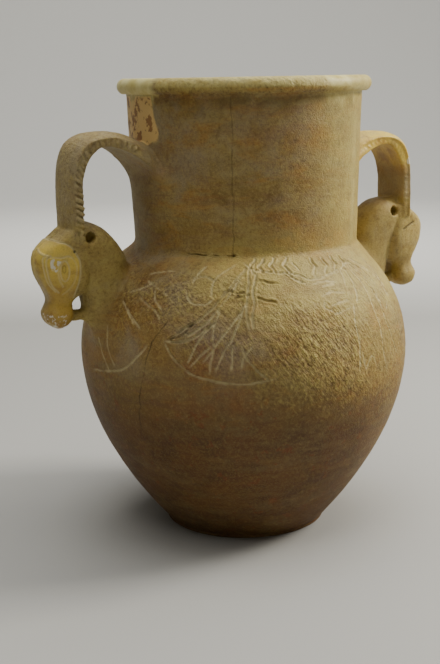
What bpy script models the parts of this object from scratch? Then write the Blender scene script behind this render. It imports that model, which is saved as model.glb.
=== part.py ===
"""An alabaster amphora: one carved stone, with two ibex heads whose swept-back horns make the handles.

Metres, +Z up. The origin is the middle of the foot, and the handles lie along X. An angle round the
vessel counts from the front, -Y, towards +X.
"""

import math

import bmesh
import bpy

# The vessel's outside
HEIGHT = 0.340
FOOT_RADIUS = 0.0630
FOOT_EDGE = 0.0030
FOOT_STEP = 0.0006
BODY_RADIUS = 0.1256
WIDEST_HEIGHT = 0.1370
SHOULDER_HEIGHT = 0.2175
NECK_RADIUS = 0.0845
NECK_TOP_RADIUS = 0.0878
NECK_SHIFT = 0.0036  # the neck stands a little off the body's middle, towards +X
LIP_HEIGHT = 0.0115
LIP_OVERHANG = 0.0068
LIP_TOP_ANGLE = math.radians(80)
LIP_LOW_ANGLE = math.radians(-75)
LOWER_FULLNESS = 1.89
NECK_FLARE_POWER = 1.3

# The hollow
NECK_WALL = 0.0100
BODY_WALL = 0.0120
FLOOR_THICKNESS = 0.0180
SHOULDER_WALL = 0.0048  # from the cavity's top up to the neck's base
CORNER_SHARE = 0.9  # the width of the cavity's floor against its lowest wall

# Each handle's loop, the pair of horns: its clear gap to the neck, and its top above the shoulder
HORN_WIDTH = 0.0380
HORN_THICKNESS = 0.0060
HORN_CROWN = 0.0040
LEFT_GAP = 0.0550
RIGHT_GAP = 0.0535
LEFT_LOOP_HEIGHT = 0.0868
RIGHT_LOOP_HEIGHT = 0.0785
LEFT_ROOT_TOP = 0.0735
RIGHT_ROOT_TOP = 0.0745
ROOT_LOW = 0.0385
ROOT_TOP_WIDTH = 0.0460
ROOT_LOW_WIDTH = 0.0660
NOTCH_PITCH = 0.0042
NOTCH_DEPTH = 0.0011

# The horns' curve, in shares of its own reach and rise
HORN_START = 0.80  # where the horns leave the head, as a share of the animal's height
SPRING_SHARE = 0.55  # how far below the inner top the upright legs end
OUTER_PEAK = 0.40
INNER_PEAK = 0.30
OUTER_RISE = 0.84
OUTER_TURN = 0.78
INNER_RISE = 0.55
INNER_TURN = 0.45
TOP_RUN = 0.40
OUTER_ARRIVAL = (0.30, 0.40)
INNER_ARRIVAL = (0.10, 0.55)

# The animal, from the muzzle's underside to the crown
ANIMAL_HEIGHT = 0.0740
ANIMAL_GAP = 0.0540  # from the neck to the line that the animal is carved about
CROWN_ABOVE_SHOULDER = 0.0245
EAR_RADIUS = 0.0039
EAR_DEPTH = 0.0090
GROOVE_RADIUS = 0.0009
NOSTRIL_RADIUS = 0.0014

# The engraving on the shoulder
LINE_RADIUS = 0.0010
LINE_DEPTH = 0.0009
FLOWER_ANGLE = math.radians(24.5)

OUTER_STEPS = 46
INNER_STEPS = 24
SIDES = 12
HALF_STEP = 0.5  # keeps the corners of joined forms off the plane that they share
HEAD_RINGS = 15
CHEST_RINGS = 10
EYE_PLACES = 12
IRIS_PLACES = 8
STRUT_SIDES = 8
EAR_SIDES = 12
NOSTRIL_SIDES = 6
BURIED = 0.006  # how far a joined form runs into the vessel's wall
OVERLAP = 0.001

LIP_Z = HEIGHT - LIP_HEIGHT


def body_radius(z):
    """The body's outer radius at a height: a full curve below the widest part, an ellipse above."""
    if z < WIDEST_HEIGHT:
        reach = (WIDEST_HEIGHT - FOOT_EDGE) / (1 - FOOT_RADIUS / BODY_RADIUS) ** (1 / LOWER_FULLNESS)
        return BODY_RADIUS * (1 - ((WIDEST_HEIGHT - z) / reach) ** LOWER_FULLNESS)
    rise = (SHOULDER_HEIGHT - WIDEST_HEIGHT) / math.sqrt(1 - (NECK_RADIUS / BODY_RADIUS) ** 2)
    return BODY_RADIUS * math.sqrt(max(0.0, 1 - ((z - WIDEST_HEIGHT) / rise) ** 2))


def neck_radius(z):
    share = min(max((z - SHOULDER_HEIGHT) / (LIP_Z - SHOULDER_HEIGHT), 0), 1)
    return NECK_RADIUS + (NECK_TOP_RADIUS - NECK_RADIUS) * share**NECK_FLARE_POWER


def mixed(low, high, share):
    return low + (high - low) * share


def between(low, high, count):
    """count + 1 values from low to high, both ends included."""
    return [low + (high - low) * i / count for i in range(count + 1)]


def at_share(table, share):
    """The row of a table of (share, value, ...) at a share, with a smooth curve through the rows."""
    rows = sorted(table)
    last = len(rows) - 1
    place = max(i for i in range(last) if i == 0 or rows[i][0] <= share)
    before, low, high, after = (rows[min(max(place + step, 0), last)] for step in (-1, 0, 1, 2))
    span = high[0] - low[0]
    part = min(max((share - low[0]) / span, 0), 1)
    found = []
    for column in range(1, len(low)):
        into = (high[column] - before[column]) / max(high[0] - before[0], span)
        out = (after[column] - low[column]) / max(after[0] - low[0], span)
        square = part * part
        cube = square * part
        found.append(
            (2 * cube - 3 * square + 1) * low[column]
            + (cube - 2 * square + part) * into * span
            + (3 * square - 2 * cube) * high[column]
            + (cube - square) * out * span
        )
    return found


def add_object(name, mesh, collection):
    found = bpy.data.objects.new(name, mesh)
    collection.objects.link(found)
    return found


def stone():
    material = bpy.data.materials.new("alabaster")
    material.use_nodes = True
    shader = material.node_tree.nodes["Principled BSDF"]
    shader.inputs["Base Color"].default_value = (0.47, 0.32, 0.14, 1)
    shader.inputs["Roughness"].default_value = 0.45
    shader.inputs["Metallic"].default_value = 0
    return material


def turned(name, outline, steps, shift, collection):
    """A solid turned from an outline of (radius, z), which runs down its outer side."""
    mesh = bpy.data.meshes.new(name)
    points = [(radius, 0, z) for radius, z in outline]
    mesh.from_pydata(points, [(i, i + 1) for i in range(len(points) - 1)], [])
    found = add_object(name, mesh, collection)
    found.location.x = shift
    screw = found.modifiers.new("turn", "SCREW")
    screw.axis = "Z"
    screw.steps = steps
    screw.render_steps = steps
    screw.use_merge_vertices = True
    screw.merge_threshold = 0.00001
    return found


def body_outline():
    top = SHOULDER_HEIGHT + BURIED / 2
    shoulder = [(body_radius(z), z) for z in between(SHOULDER_HEIGHT, WIDEST_HEIGHT, 7)]
    lower = [(body_radius(z), z) for z in between(WIDEST_HEIGHT, FOOT_EDGE, 7)[1:]]
    inside_neck = NECK_RADIUS - NECK_WALL / 2
    foot = [(FOOT_RADIUS - FOOT_STEP, FOOT_EDGE), (FOOT_RADIUS - FOOT_STEP, 0), (0, 0)]
    return [(0, top), (inside_neck, top), (inside_neck, SHOULDER_HEIGHT), *shoulder, *lower, *foot]


def neck_outline():
    lip_middle = LIP_Z + LIP_HEIGHT / 2
    lip_radius = NECK_TOP_RADIUS + LIP_OVERHANG
    lip = [
        (lip_radius - LIP_HEIGHT / 2 * (1 - math.cos(angle)), lip_middle + LIP_HEIGHT / 2 * math.sin(angle))
        for angle in between(LIP_TOP_ANGLE, LIP_LOW_ANGLE, 4)
    ]
    side = [(neck_radius(z), z) for z in between(LIP_Z, SHOULDER_HEIGHT, 3)]
    low = SHOULDER_HEIGHT - BURIED
    top = [(0, HEIGHT), (lip[0][0] - LIP_HEIGHT / 4, HEIGHT)]
    return [*top, *lip, *side, (NECK_RADIUS - BURIED, low), (0, low)]


def cavity_outline():
    """The body's hollow, with its top inside the bore of the neck."""
    bore = NECK_RADIUS - NECK_WALL
    top = SHOULDER_HEIGHT - SHOULDER_WALL
    low = FLOOR_THICKNESS
    side = [(body_radius(z) - BODY_WALL, z) for z in between(top, low, 10)]
    side = [(max(radius, bore - OVERLAP) if z > WIDEST_HEIGHT else radius, z) for radius, z in side]
    return [(0, top), *side[:-1], (side[-1][0] * CORNER_SHARE, low), (0, low)]


def bore_outline():
    bore = NECK_RADIUS - NECK_WALL
    mouth = NECK_TOP_RADIUS - NECK_WALL
    low = SHOULDER_HEIGHT - 3 * BODY_WALL
    top = HEIGHT + BURIED
    return [(0, top), (mouth, top), (mouth, LIP_Z), (bore, SHOULDER_HEIGHT), (bore, low), (0, low)]


def loft(name, rings, collection):
    """A closed solid through rings of equally many points, with a fan at each end."""
    mesh = bmesh.new()
    made = [[mesh.verts.new(point) for point in ring] for ring in rings]
    for low, high in zip(made, made[1:]):
        for i, corner in enumerate(low):
            follow = (i + 1) % len(low)
            mesh.faces.new((corner, low[follow], high[follow], high[i]))
    for ring in (made[0], made[-1]):
        middle = [sum(corner.co[axis] for corner in ring) / len(ring) for axis in range(3)]
        centre = mesh.verts.new(middle)
        for i, corner in enumerate(ring):
            mesh.faces.new((corner, ring[(i + 1) % len(ring)], centre))
    bmesh.ops.recalc_face_normals(mesh, faces=mesh.faces)
    data = bpy.data.meshes.new(name)
    mesh.to_mesh(data)
    mesh.free()
    return add_object(name, data, collection)


def rounded(angle, power):
    """The point at an angle on a rounded square of half size 1."""
    across, along = math.cos(angle), math.sin(angle)
    return (
        math.copysign(abs(across) ** (2 / power), across),
        math.copysign(abs(along) ** (2 / power), along),
    )


# Rows of the head: share of its height, then back, front, half width and how far the half width narrows
# to the front, as shares of it, measured out from the line that the animal is carved about
HEAD_ROWS = (
    (0.000, 0.160, 0.225, 0.070, 0.00),
    (0.035, 0.105, 0.280, 0.135, 0.00),
    (0.085, 0.062, 0.318, 0.163, 0.00),
    (0.150, 0.050, 0.332, 0.168, 0.00),
    (0.205, 0.056, 0.310, 0.152, 0.02),
    (0.255, 0.040, 0.290, 0.146, 0.06),
    (0.310, -0.030, 0.296, 0.172, 0.14),
    (0.370, -0.085, 0.322, 0.216, 0.22),
    (0.440, -0.105, 0.356, 0.246, 0.27),
    (0.520, -0.115, 0.390, 0.261, 0.28),
    (0.600, -0.115, 0.406, 0.262, 0.28),
    (0.680, -0.110, 0.405, 0.261, 0.27),
    (0.750, -0.105, 0.374, 0.255, 0.25),
    (0.820, -0.095, 0.302, 0.248, 0.18),
    (0.885, -0.080, 0.198, 0.238, 0.09),
    (0.940, -0.060, 0.120, 0.212, 0.00),
)
HEAD_POWER = 3.0

# Rows of the animal's chest and neck, in the same measures
CHEST_ROWS = (
    (-0.200, -0.420, -0.185, 0.110, 0.0),
    (-0.060, -0.400, -0.130, 0.140, 0.0),
    (0.060, -0.400, -0.095, 0.150, 0.0),
    (0.200, -0.450, -0.070, 0.165, 0.0),
    (0.330, -0.520, -0.045, 0.180, 0.0),
    (0.450, -0.560, -0.010, 0.195, 0.0),
    (0.600, -0.540, 0.040, 0.215, 0.0),
    (0.700, -0.480, 0.080, 0.230, 0.0),
    (0.790, -0.420, 0.110, 0.238, 0.0),
    (0.870, -0.350, 0.120, 0.232, 0.0),
    (0.935, -0.280, 0.105, 0.200, 0.0),
    (0.980, -0.200, 0.070, 0.140, 0.0),
    (1.000, -0.140, 0.020, 0.070, 0.0),
)
CHEST_POWER = 2.8

# Lines carved on the head, as (out, up) shares of the animal's height
FACE_LINE = (
    (0.230, 0.840),
    (0.130, 0.790),
    (0.070, 0.735),
    (0.035, 0.660),
    (0.020, 0.560),
    (0.030, 0.440),
    (0.075, 0.320),
)
EYE_MIDDLE = (0.225, 0.555)
EYE_LENGTH = 0.330
EYE_WIDTH = 0.215
EYE_LEAN = math.radians(-16)
IRIS_MIDDLE = (0.185, 0.580)
IRIS_SHARE = 0.42
NOSTRIL_PLACE = (0.325, 0.075)
NOSTRIL_APART = 0.070
STRUT_FRONT = (0.100, 0.105)
STRUT_MIDDLE = (-0.050, 0.095)
STRUT_BACK = (-0.170, 0.090)
STRUT_HALVES = (0.060, 0.057, 0.075)
EAR_UP = 0.865
LEFT_EAR_OUT = -0.095
RIGHT_EAR_OUT = -0.072


class Handle:
    """One handle's measures. side is -1 on the left and +1 on the right."""

    def __init__(self, name, side, gap, loop_height, root_top, ear_out):
        self.name = name
        self.side = side
        self.inner = NECK_RADIUS + gap + side * NECK_SHIFT
        self.loop_z = SHOULDER_HEIGHT + loop_height
        self.root_z = SHOULDER_HEIGHT + root_top
        self.ear_out = ear_out
        self.low = SHOULDER_HEIGHT + CROWN_ABOVE_SHOULDER - ANIMAL_HEIGHT

    def point(self, reach, across, z):
        return (self.side * reach, across, z)

    def carved(self, out, up):
        """(reach, z) of a place given in shares of the animal's height."""
        return NECK_RADIUS + ANIMAL_GAP + out * ANIMAL_HEIGHT, self.low + up * ANIMAL_HEIGHT

    def rings(self, table, power, count):
        """Rings of a form whose level sections are rounded squares."""
        low, high = table[0][0], table[-1][0]
        made = []
        for share in between(low, high, count):
            back, front, half, narrow = at_share(table, share)
            inner, z = self.carved(back, share)
            outer, _ = self.carved(front, share)
            ring = []
            for side in range(SIDES):
                across, along = rounded(2 * math.pi * (side + HALF_STEP) / SIDES, power)
                reach = (inner + outer) / 2 + along * (outer - inner) / 2
                width = half * (1 - narrow * (1 + along) / 2) * ANIMAL_HEIGHT
                ring.append(self.point(reach, across * width, z))
            made.append(ring)
        return made

    def on_cheek(self, out, up, face):
        """The point on the head's side, face -1 or +1, at a place in shares."""
        back, front, half, narrow = at_share(HEAD_ROWS, up)
        place = (out - (back + front) / 2) / ((front - back) / 2)
        width = half * (1 - narrow * (1 + place) / 2)
        width *= max(0.0, 1 - abs(place) ** HEAD_POWER) ** (1 / HEAD_POWER)
        reach, z = self.carved(out, up)
        return self.point(reach, face * width * ANIMAL_HEIGHT, z)


def bezier(points, share):
    """The place at a share of a curve that starts and ends at the first and last of its four points."""
    rest = 1 - share
    weights = (rest**3, 3 * rest * rest * share, 3 * rest * share * share, share**3)
    return [sum(weight * point[axis] for weight, point in zip(weights, points)) for axis in (0, 1)]


def horn_lines(handle):
    """Pairs of places (reach, z) up the horns' outer and inner faces, from the crown to the neck."""
    inner = handle.inner
    outer = inner + HORN_THICKNESS + HORN_CROWN
    outer_top = handle.loop_z
    inner_top = outer_top - HORN_THICKNESS - HORN_CROWN
    root_low = SHOULDER_HEIGHT + ROOT_LOW
    start = handle.carved(0, HORN_START)[1]
    spring = inner_top - SPRING_SHARE * (inner - NECK_RADIUS)
    neck_top = neck_radius(handle.root_z) + handle.side * NECK_SHIFT - BURIED
    neck_low = neck_radius(root_low) + handle.side * NECK_SHIFT - BURIED
    outer_peak = inner - OUTER_PEAK * (inner - neck_top)
    inner_peak = inner - INNER_PEAK * (inner - neck_low)
    step = NOTCH_PITCH / 2
    pairs = [((outer, z), (inner, z)) for z in between(start, spring, round((spring - start) / step))[:-1]]
    rise = (
        (outer, spring),
        (outer, mixed(spring, outer_top, OUTER_RISE)),
        (mixed(outer_peak, outer, OUTER_TURN), outer_top),
        (outer_peak, outer_top),
    )
    under = (
        (inner, spring),
        (inner, mixed(spring, inner_top, INNER_RISE)),
        (mixed(inner_peak, inner, INNER_TURN), inner_top),
        (inner_peak, inner_top),
    )
    turn = math.hypot(outer_top - spring, outer - outer_peak)
    for share in between(0, 1, 2 * round(turn / NOTCH_PITCH))[:-1]:
        pairs.append((bezier(rise, share), bezier(under, share)))
    out, up = OUTER_ARRIVAL
    drop = (
        (outer_peak, outer_top),
        (mixed(outer_peak, neck_top, TOP_RUN), outer_top),
        (mixed(neck_top, outer_peak, out), mixed(handle.root_z, outer_top, up)),
        (neck_top, handle.root_z),
    )
    out, up = INNER_ARRIVAL
    sweep = (
        (inner_peak, inner_top),
        (mixed(inner_peak, neck_low, TOP_RUN), inner_top),
        (mixed(neck_low, inner_peak, out), mixed(root_low, inner_top, up)),
        (neck_low, root_low),
    )
    for share in between(0, 1, 2 * round((outer_peak - neck_top) / NOTCH_PITCH)):
        pairs.append((bezier(drop, share), bezier(sweep, share)))
    return pairs


def horn_rings(handle):
    """Rings across the horns: a domed outer face, a flat inner face, notched edges and a spread root."""
    face = ((-1.0, 0.62), (-0.66, 0.88), (0.0, 1.0), (0.66, 0.88), (1.0, 0.62))
    underside = ((0.93, 0.0), (0.0, 0.0), (-0.93, 0.0))
    made = []
    for i, (outer, inner) in enumerate(horn_lines(handle)):
        rise = min(max((handle.inner - inner[0]) / (handle.inner - NECK_RADIUS), 0), 1) ** 3
        top_half = (HORN_WIDTH + (ROOT_TOP_WIDTH - HORN_WIDTH) * rise) / 2
        low_half = (HORN_WIDTH + (ROOT_LOW_WIDTH - HORN_WIDTH) * rise) / 2
        notch = NOTCH_DEPTH if i % 2 else 0
        ring = []
        for across, lift in face + underside:
            corner = abs(across) == 1
            half = top_half - notch if corner else top_half
            half = low_half if lift == 0 else half
            reach, z = (low + (high - low) * lift for low, high in zip(inner, outer))
            ring.append(handle.point(reach, across * half, z))
        made.append(ring)
    return made


def tube(name, points, radius, sides, collection, closed=False):
    """A round cutter along points, made as a curve and turned into a mesh."""
    curve = bpy.data.curves.new(name, "CURVE")
    curve.dimensions = "3D"
    curve.bevel_depth = radius
    curve.bevel_resolution = sides // 2 - 2
    curve.use_fill_caps = True
    spline = curve.splines.new("POLY")
    spline.points.add(len(points) - 1)
    spline.use_cyclic_u = closed
    for place, point in zip(spline.points, points):
        place.co = (*point, 1)
    guide = add_object(name + "_guide", curve, collection)
    bpy.context.view_layer.update()
    graph = bpy.context.evaluated_depsgraph_get()
    mesh = bpy.data.meshes.new_from_object(guide.evaluated_get(graph))
    matrix = guide.matrix_world.copy()
    bpy.data.objects.remove(guide)
    shape = bmesh.new()
    shape.from_mesh(mesh)
    bmesh.ops.remove_doubles(shape, verts=shape.verts, dist=0.00001)
    bmesh.ops.recalc_face_normals(shape, faces=shape.faces)
    shape.to_mesh(mesh)
    shape.free()
    found = add_object(name, mesh, collection)
    found.matrix_world = matrix
    return found


def almond(middle, length, width, lean, count):
    """Places round a pointed eye shape, in shares of the animal's height."""
    places = []
    for i in range(count):
        turn = 2 * math.pi * i / count
        along = math.cos(turn) * length / 2
        across = math.sin(turn) * abs(math.sin(turn)) ** 0.35 * width / 2
        out = across * math.cos(lean) + along * math.sin(lean)
        up = along * math.cos(lean) - across * math.sin(lean)
        places.append((middle[0] + out, middle[1] + up))
    return places


def head_cutters(handle, collection):
    """The carved lines, nostrils and ear sockets of one head, on both its sides."""
    made = []
    for face in (-1, 1):
        tag = f"{handle.name}_{'near' if face < 0 else 'far'}"
        line = [handle.on_cheek(out, up, face) for out, up in FACE_LINE]
        made.append(tube(tag + "_face", line, GROOVE_RADIUS, 4, collection))
        eye = almond(EYE_MIDDLE, EYE_LENGTH, EYE_WIDTH, EYE_LEAN, EYE_PLACES)
        eye = [handle.on_cheek(out, up, face) for out, up in eye]
        made.append(tube(tag + "_eye", eye, GROOVE_RADIUS, 4, collection, closed=True))
        iris = almond(IRIS_MIDDLE, EYE_LENGTH * IRIS_SHARE, EYE_WIDTH * IRIS_SHARE, EYE_LEAN, IRIS_PLACES)
        iris = [handle.on_cheek(out, up, face) for out, up in iris]
        made.append(tube(tag + "_iris", iris, GROOVE_RADIUS * 0.8, 4, collection, closed=True))
        reach, z = handle.carved(handle.ear_out, EAR_UP)
        half = at_share(CHEST_ROWS, EAR_UP)[2] * ANIMAL_HEIGHT
        ends = (handle.point(reach, face * (half - EAR_DEPTH), z), handle.point(reach, face * half * 1.4, z))
        made.append(tube(tag + "_ear", ends, EAR_RADIUS, EAR_SIDES, collection))
        reach, z = handle.carved(*NOSTRIL_PLACE)
        middle = NOSTRIL_APART * ANIMAL_HEIGHT * face
        deep = NOSTRIL_RADIUS * 1.5
        back = handle.point(reach - deep, middle, z + deep / 2)
        front = handle.point(reach + 2 * deep, middle, z - deep)
        made.append(tube(tag + "_nostril", (back, front), NOSTRIL_RADIUS, NOSTRIL_SIDES, collection))
    return made


def on_body(angle, z, lift=0.0):
    radius = body_radius(z) + lift
    return (radius * math.sin(angle), -radius * math.cos(angle), z)


def flower_strokes(side):
    """The main lines of one lotus flower on the shoulder, as lists of (angle, z)."""
    stem = side * FLOWER_ANGLE
    top = SHOULDER_HEIGHT - 0.008
    heart = SHOULDER_HEIGHT - 0.044
    base = SHOULDER_HEIGHT - 0.080
    out = side * math.radians(1)
    strokes = [[(stem, z) for z in between(top, heart, 3)]]
    strokes.append([(stem + 3.5 * out, z) for z in between(top, heart, 3)])
    rim = [(stem + out * (28 - 33 * share), base + 0.026 * (1 - share) ** 2) for share in between(0, 1, 6)]
    strokes.append(rim)
    for spread, bend in ((12, 6), (7, 2), (-2, -5)):
        leaf = []
        for share in between(0, 1, 3):
            lean = spread * share + bend * math.sin(math.pi * share)
            leaf.append((stem + out * lean, top - 0.016 + (base - top + 0.018) * share))
        strokes.append(leaf)
    sweep = [(stem + out * (1 + 27 * share), top + 0.002 - 0.047 * share**0.8) for share in between(0, 1, 4)]
    strokes.append(sweep)
    return strokes


def garland_strokes():
    """The garland that hangs under the neck between the two flowers."""
    reach = FLOWER_ANGLE - math.radians(5)
    places = between(-1, 1, 8)
    lower = [(reach * place, SHOULDER_HEIGHT - 0.0155 + 0.009 * place * place) for place in places]
    return [lower]


def engraving(collection):
    strokes = flower_strokes(-1) + flower_strokes(1) + garland_strokes()
    made = []
    for i, stroke in enumerate(strokes):
        path = [on_body(angle, z, LINE_RADIUS - LINE_DEPTH) for angle, z in stroke]
        made.append(tube(f"engraved_{i}", path, LINE_RADIUS, 4, collection))
    return made


def strut(handle, collection):
    """The bridge of stone from the muzzle back to the chest."""
    rings = []
    for place, half in zip((STRUT_FRONT, STRUT_MIDDLE, STRUT_BACK), STRUT_HALVES):
        reach, z = handle.carved(*place)
        size = half * ANIMAL_HEIGHT
        ring = []
        for side in range(STRUT_SIDES):
            angle = 2 * math.pi * (side + HALF_STEP) / STRUT_SIDES
            ring.append(handle.point(reach, math.cos(angle) * size, z + math.sin(angle) * size))
        rings.append(ring)
    return loft(handle.name + "_strut", rings, collection)


def boolean(target, other, operation):
    """Adds a Boolean with the manifold solver: the exact one leaves gaps where the many fine cuts meet."""
    step = target.modifiers.new(other.name, "BOOLEAN")
    step.operation = operation
    step.object = other
    step.solver = "MANIFOLD"


def build():
    for item in list(bpy.data.objects):
        bpy.data.objects.remove(item)
    parts = bpy.data.collections.new("alabaster_amphora")
    cutters = bpy.data.collections.new("helpers")
    for collection in (parts, cutters):
        bpy.context.scene.collection.children.link(collection)
    amphora = turned("amphora", body_outline(), OUTER_STEPS, 0, parts)
    joined = [turned("neck", neck_outline(), OUTER_STEPS, NECK_SHIFT, cutters)]
    cut = [
        turned("cavity", cavity_outline(), INNER_STEPS, 0, cutters),
        turned("bore", bore_outline(), INNER_STEPS, NECK_SHIFT, cutters),
    ]
    handles = (
        Handle("left", -1, LEFT_GAP, LEFT_LOOP_HEIGHT, LEFT_ROOT_TOP, LEFT_EAR_OUT),
        Handle("right", 1, RIGHT_GAP, RIGHT_LOOP_HEIGHT, RIGHT_ROOT_TOP, RIGHT_EAR_OUT),
    )
    for handle in handles:
        chest = handle.rings(CHEST_ROWS, CHEST_POWER, CHEST_RINGS)
        joined.append(loft(handle.name + "_chest", chest, cutters))
        joined.append(loft(handle.name + "_head", handle.rings(HEAD_ROWS, HEAD_POWER, HEAD_RINGS), cutters))
        joined.append(loft(handle.name + "_horns", horn_rings(handle), cutters))
        joined.append(strut(handle, cutters))
        cut += head_cutters(handle, cutters)
    cut += engraving(cutters)
    for helper in joined:
        boolean(amphora, helper, "UNION")
    for helper in cut:
        boolean(amphora, helper, "DIFFERENCE")
    for helper in joined + cut:
        helper.hide_render = True
        helper.display_type = "WIRE"
    amphora.data.materials.append(stone())


build()
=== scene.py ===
import math

import bmesh
import bpy
import numpy as np
from mathutils import Matrix, Vector
from mathutils.bvhtree import BVHTree


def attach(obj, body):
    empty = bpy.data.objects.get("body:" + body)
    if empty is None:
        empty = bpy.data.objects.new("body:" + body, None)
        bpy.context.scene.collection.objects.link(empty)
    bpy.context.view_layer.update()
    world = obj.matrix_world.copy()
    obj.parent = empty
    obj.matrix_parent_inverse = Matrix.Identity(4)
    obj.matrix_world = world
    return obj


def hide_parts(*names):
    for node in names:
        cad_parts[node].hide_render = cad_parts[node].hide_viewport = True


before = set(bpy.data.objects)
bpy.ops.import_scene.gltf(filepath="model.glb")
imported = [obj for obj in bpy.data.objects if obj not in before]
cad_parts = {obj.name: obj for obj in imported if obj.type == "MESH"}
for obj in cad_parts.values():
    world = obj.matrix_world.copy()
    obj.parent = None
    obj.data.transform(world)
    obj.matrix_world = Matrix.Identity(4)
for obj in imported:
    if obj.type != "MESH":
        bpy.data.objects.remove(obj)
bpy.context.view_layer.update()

# An alabaster amphora, turned and carved from one stone. Metres, +Z up. The origin is the middle of the
# foot, and the handles lie along X. An angle round the vessel counts from the front, -Y, towards +X.

# The vessel's outside
HEIGHT = 0.340
FOOT_RADIUS = 0.0630
FOOT_EDGE = 0.0030
FOOT_STEP = 0.0006
FOOT_ROUNDING = 0.0008
BODY_RADIUS = 0.1256
WIDEST_HEIGHT = 0.1370
SHOULDER_HEIGHT = 0.2175
NECK_RADIUS = 0.0845
NECK_TOP_RADIUS = 0.0878
NECK_SHIFT = 0.0036
SHIFT_START = SHOULDER_HEIGHT - 0.012
SHIFT_END = SHOULDER_HEIGHT + 0.001
LIP_HEIGHT = 0.0115
LIP_OVERHANG = 0.0068
LOWER_FULLNESS = 1.89
NECK_FLARE_POWER = 1.3
NECK_FILLET = 0.0022
FILLET_RISE = 1.3
LIP_Z = HEIGHT - LIP_HEIGHT

# The hollow
NECK_WALL = 0.0100
BODY_WALL = 0.0120
FLOOR_THICKNESS = 0.0180
SHOULDER_WALL = 0.0048
MOUTH_ROUNDING = 0.0022

# Each handle's loop, the pair of horns
HORN_WIDTH = 0.0380
HORN_THICKNESS = 0.0060
HORN_CROWN = 0.0040
LEFT_GAP = 0.0550
RIGHT_GAP = 0.0535
LEFT_LOOP_HEIGHT = 0.0868
RIGHT_LOOP_HEIGHT = 0.0785
LEFT_ROOT_TOP = 0.0735
RIGHT_ROOT_TOP = 0.0745
ROOT_LOW = 0.0385
ROOT_TOP_WIDTH = 0.0460
ROOT_LOW_WIDTH = 0.0660
NOTCH_PITCH = 0.0042
HORN_START = 0.80
SPRING_SHARE = 0.55
OUTER_PEAK = 0.40
INNER_PEAK = 0.30
OUTER_RISE = 0.84
OUTER_TURN = 0.78
INNER_RISE = 0.55
INNER_TURN = 0.45
TOP_RUN = 0.40
OUTER_ARRIVAL = (0.30, 0.40)
INNER_ARRIVAL = (0.10, 0.55)

# The animal, from the muzzle's underside to the crown
ANIMAL_HEIGHT = 0.0740
ANIMAL_GAP = 0.0540
CROWN_ABOVE_SHOULDER = 0.0245
EAR_RADIUS = 0.0039
EAR_DEPTH = 0.0090
EAR_UP = 0.865
LEFT_EAR_OUT = -0.095
RIGHT_EAR_OUT = -0.072
BURIED = 0.006

# How fine the mesh is, and the parts of it, as two angles and two heights, that are made finer
ROUND_STEPS = 144
SEEN_PART = (-150, 95, 0.001, 0.345)
ENGRAVED_PART = (-96, 44, 0.131, 0.2160)
WIDE_STEP = 0.0055
INSIDE_STEP = 0.0095
HANDLE_VOXEL = 0.0009
MOST_TRIANGLES = 196_000
RING_SIDES = 40
RING_STEPS = 60
SMALL_RING_SIDES = 24
SEAM_GAP = 0.00001
SAME_PLACE = 0.0001

# How the small teeth along the horns' edges vary, and how worn the right horns' teeth and cuts are
TOOTH_LEAST = (0.75, 0.7, 0.7)
TOOTH_MOST = (1.25, 1.3, 1.25)
TOOTH_SWAY = 0.24
SIZE_SEED = 7
SWAY_SEED = 11
GASH_LEAN = 0.6
WORN_TOOTH_SHARE = 0.4
WORN_GASH_SHARE = 0.04


def display(red, green, blue):
    """A colour given as display values up to 255, as the linear values that a shader takes."""
    return tuple(((value / 255 + 0.055) / 1.055) ** 2.4 for value in (red, green, blue)) + (1.0,)


def body_radius(z):
    """The body's outer radius at a height: a full curve below the widest part, an ellipse above."""
    if z < WIDEST_HEIGHT:
        reach = (WIDEST_HEIGHT - FOOT_EDGE) / (1 - FOOT_RADIUS / BODY_RADIUS) ** (1 / LOWER_FULLNESS)
        return BODY_RADIUS * (1 - ((WIDEST_HEIGHT - z) / reach) ** LOWER_FULLNESS)
    rise = (SHOULDER_HEIGHT - WIDEST_HEIGHT) / math.sqrt(1 - (NECK_RADIUS / BODY_RADIUS) ** 2)
    return BODY_RADIUS * math.sqrt(max(0.0, 1 - ((z - WIDEST_HEIGHT) / rise) ** 2))


def neck_radius(z):
    """The neck's outer radius at a height."""
    share = min(max((z - SHOULDER_HEIGHT) / (LIP_Z - SHOULDER_HEIGHT), 0), 1)
    return NECK_RADIUS + (NECK_TOP_RADIUS - NECK_RADIUS) * share**NECK_FLARE_POWER


def mixed(low, high, share):
    """The value at a share of the way from low to high."""
    return low + (high - low) * share


def between(low, high, count):
    """count + 1 values from low to high, both ends included."""
    return [low + (high - low) * i / count for i in range(count + 1)]


def eased(value, low, high):
    """0 below low, 1 above high and a smooth rise between, also for high below low."""
    share = np.clip((value - low) / (high - low), 0, 1)
    return share * share * (3 - 2 * share)


def at_share(table, share):
    """The row of a table of (share, value, ...) at a share, with a smooth curve through the rows."""
    rows = sorted(table)
    last = len(rows) - 1
    place = max(i for i in range(last) if i == 0 or rows[i][0] <= share)
    before, low, high, after = (rows[min(max(place + step, 0), last)] for step in (-1, 0, 1, 2))
    span = high[0] - low[0]
    part = min(max((share - low[0]) / span, 0), 1)
    found = []
    for column in range(1, len(low)):
        into = (high[column] - before[column]) / max(high[0] - before[0], span)
        out = (after[column] - low[column]) / max(after[0] - low[0], span)
        square = part * part
        cube = square * part
        found.append(
            (2 * cube - 3 * square + 1) * low[column]
            + (cube - 2 * square + part) * into * span
            + (3 * square - 2 * cube) * high[column]
            + (cube - square) * out * span
        )
    return found


def operator(operation, swapped=False):
    """A method that adds the maths node of one operator."""

    def method(strand, other):
        first, second = (other, strand) if swapped else (strand, other)
        return strand.tree.maths(operation, first, second)

    return method


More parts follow.
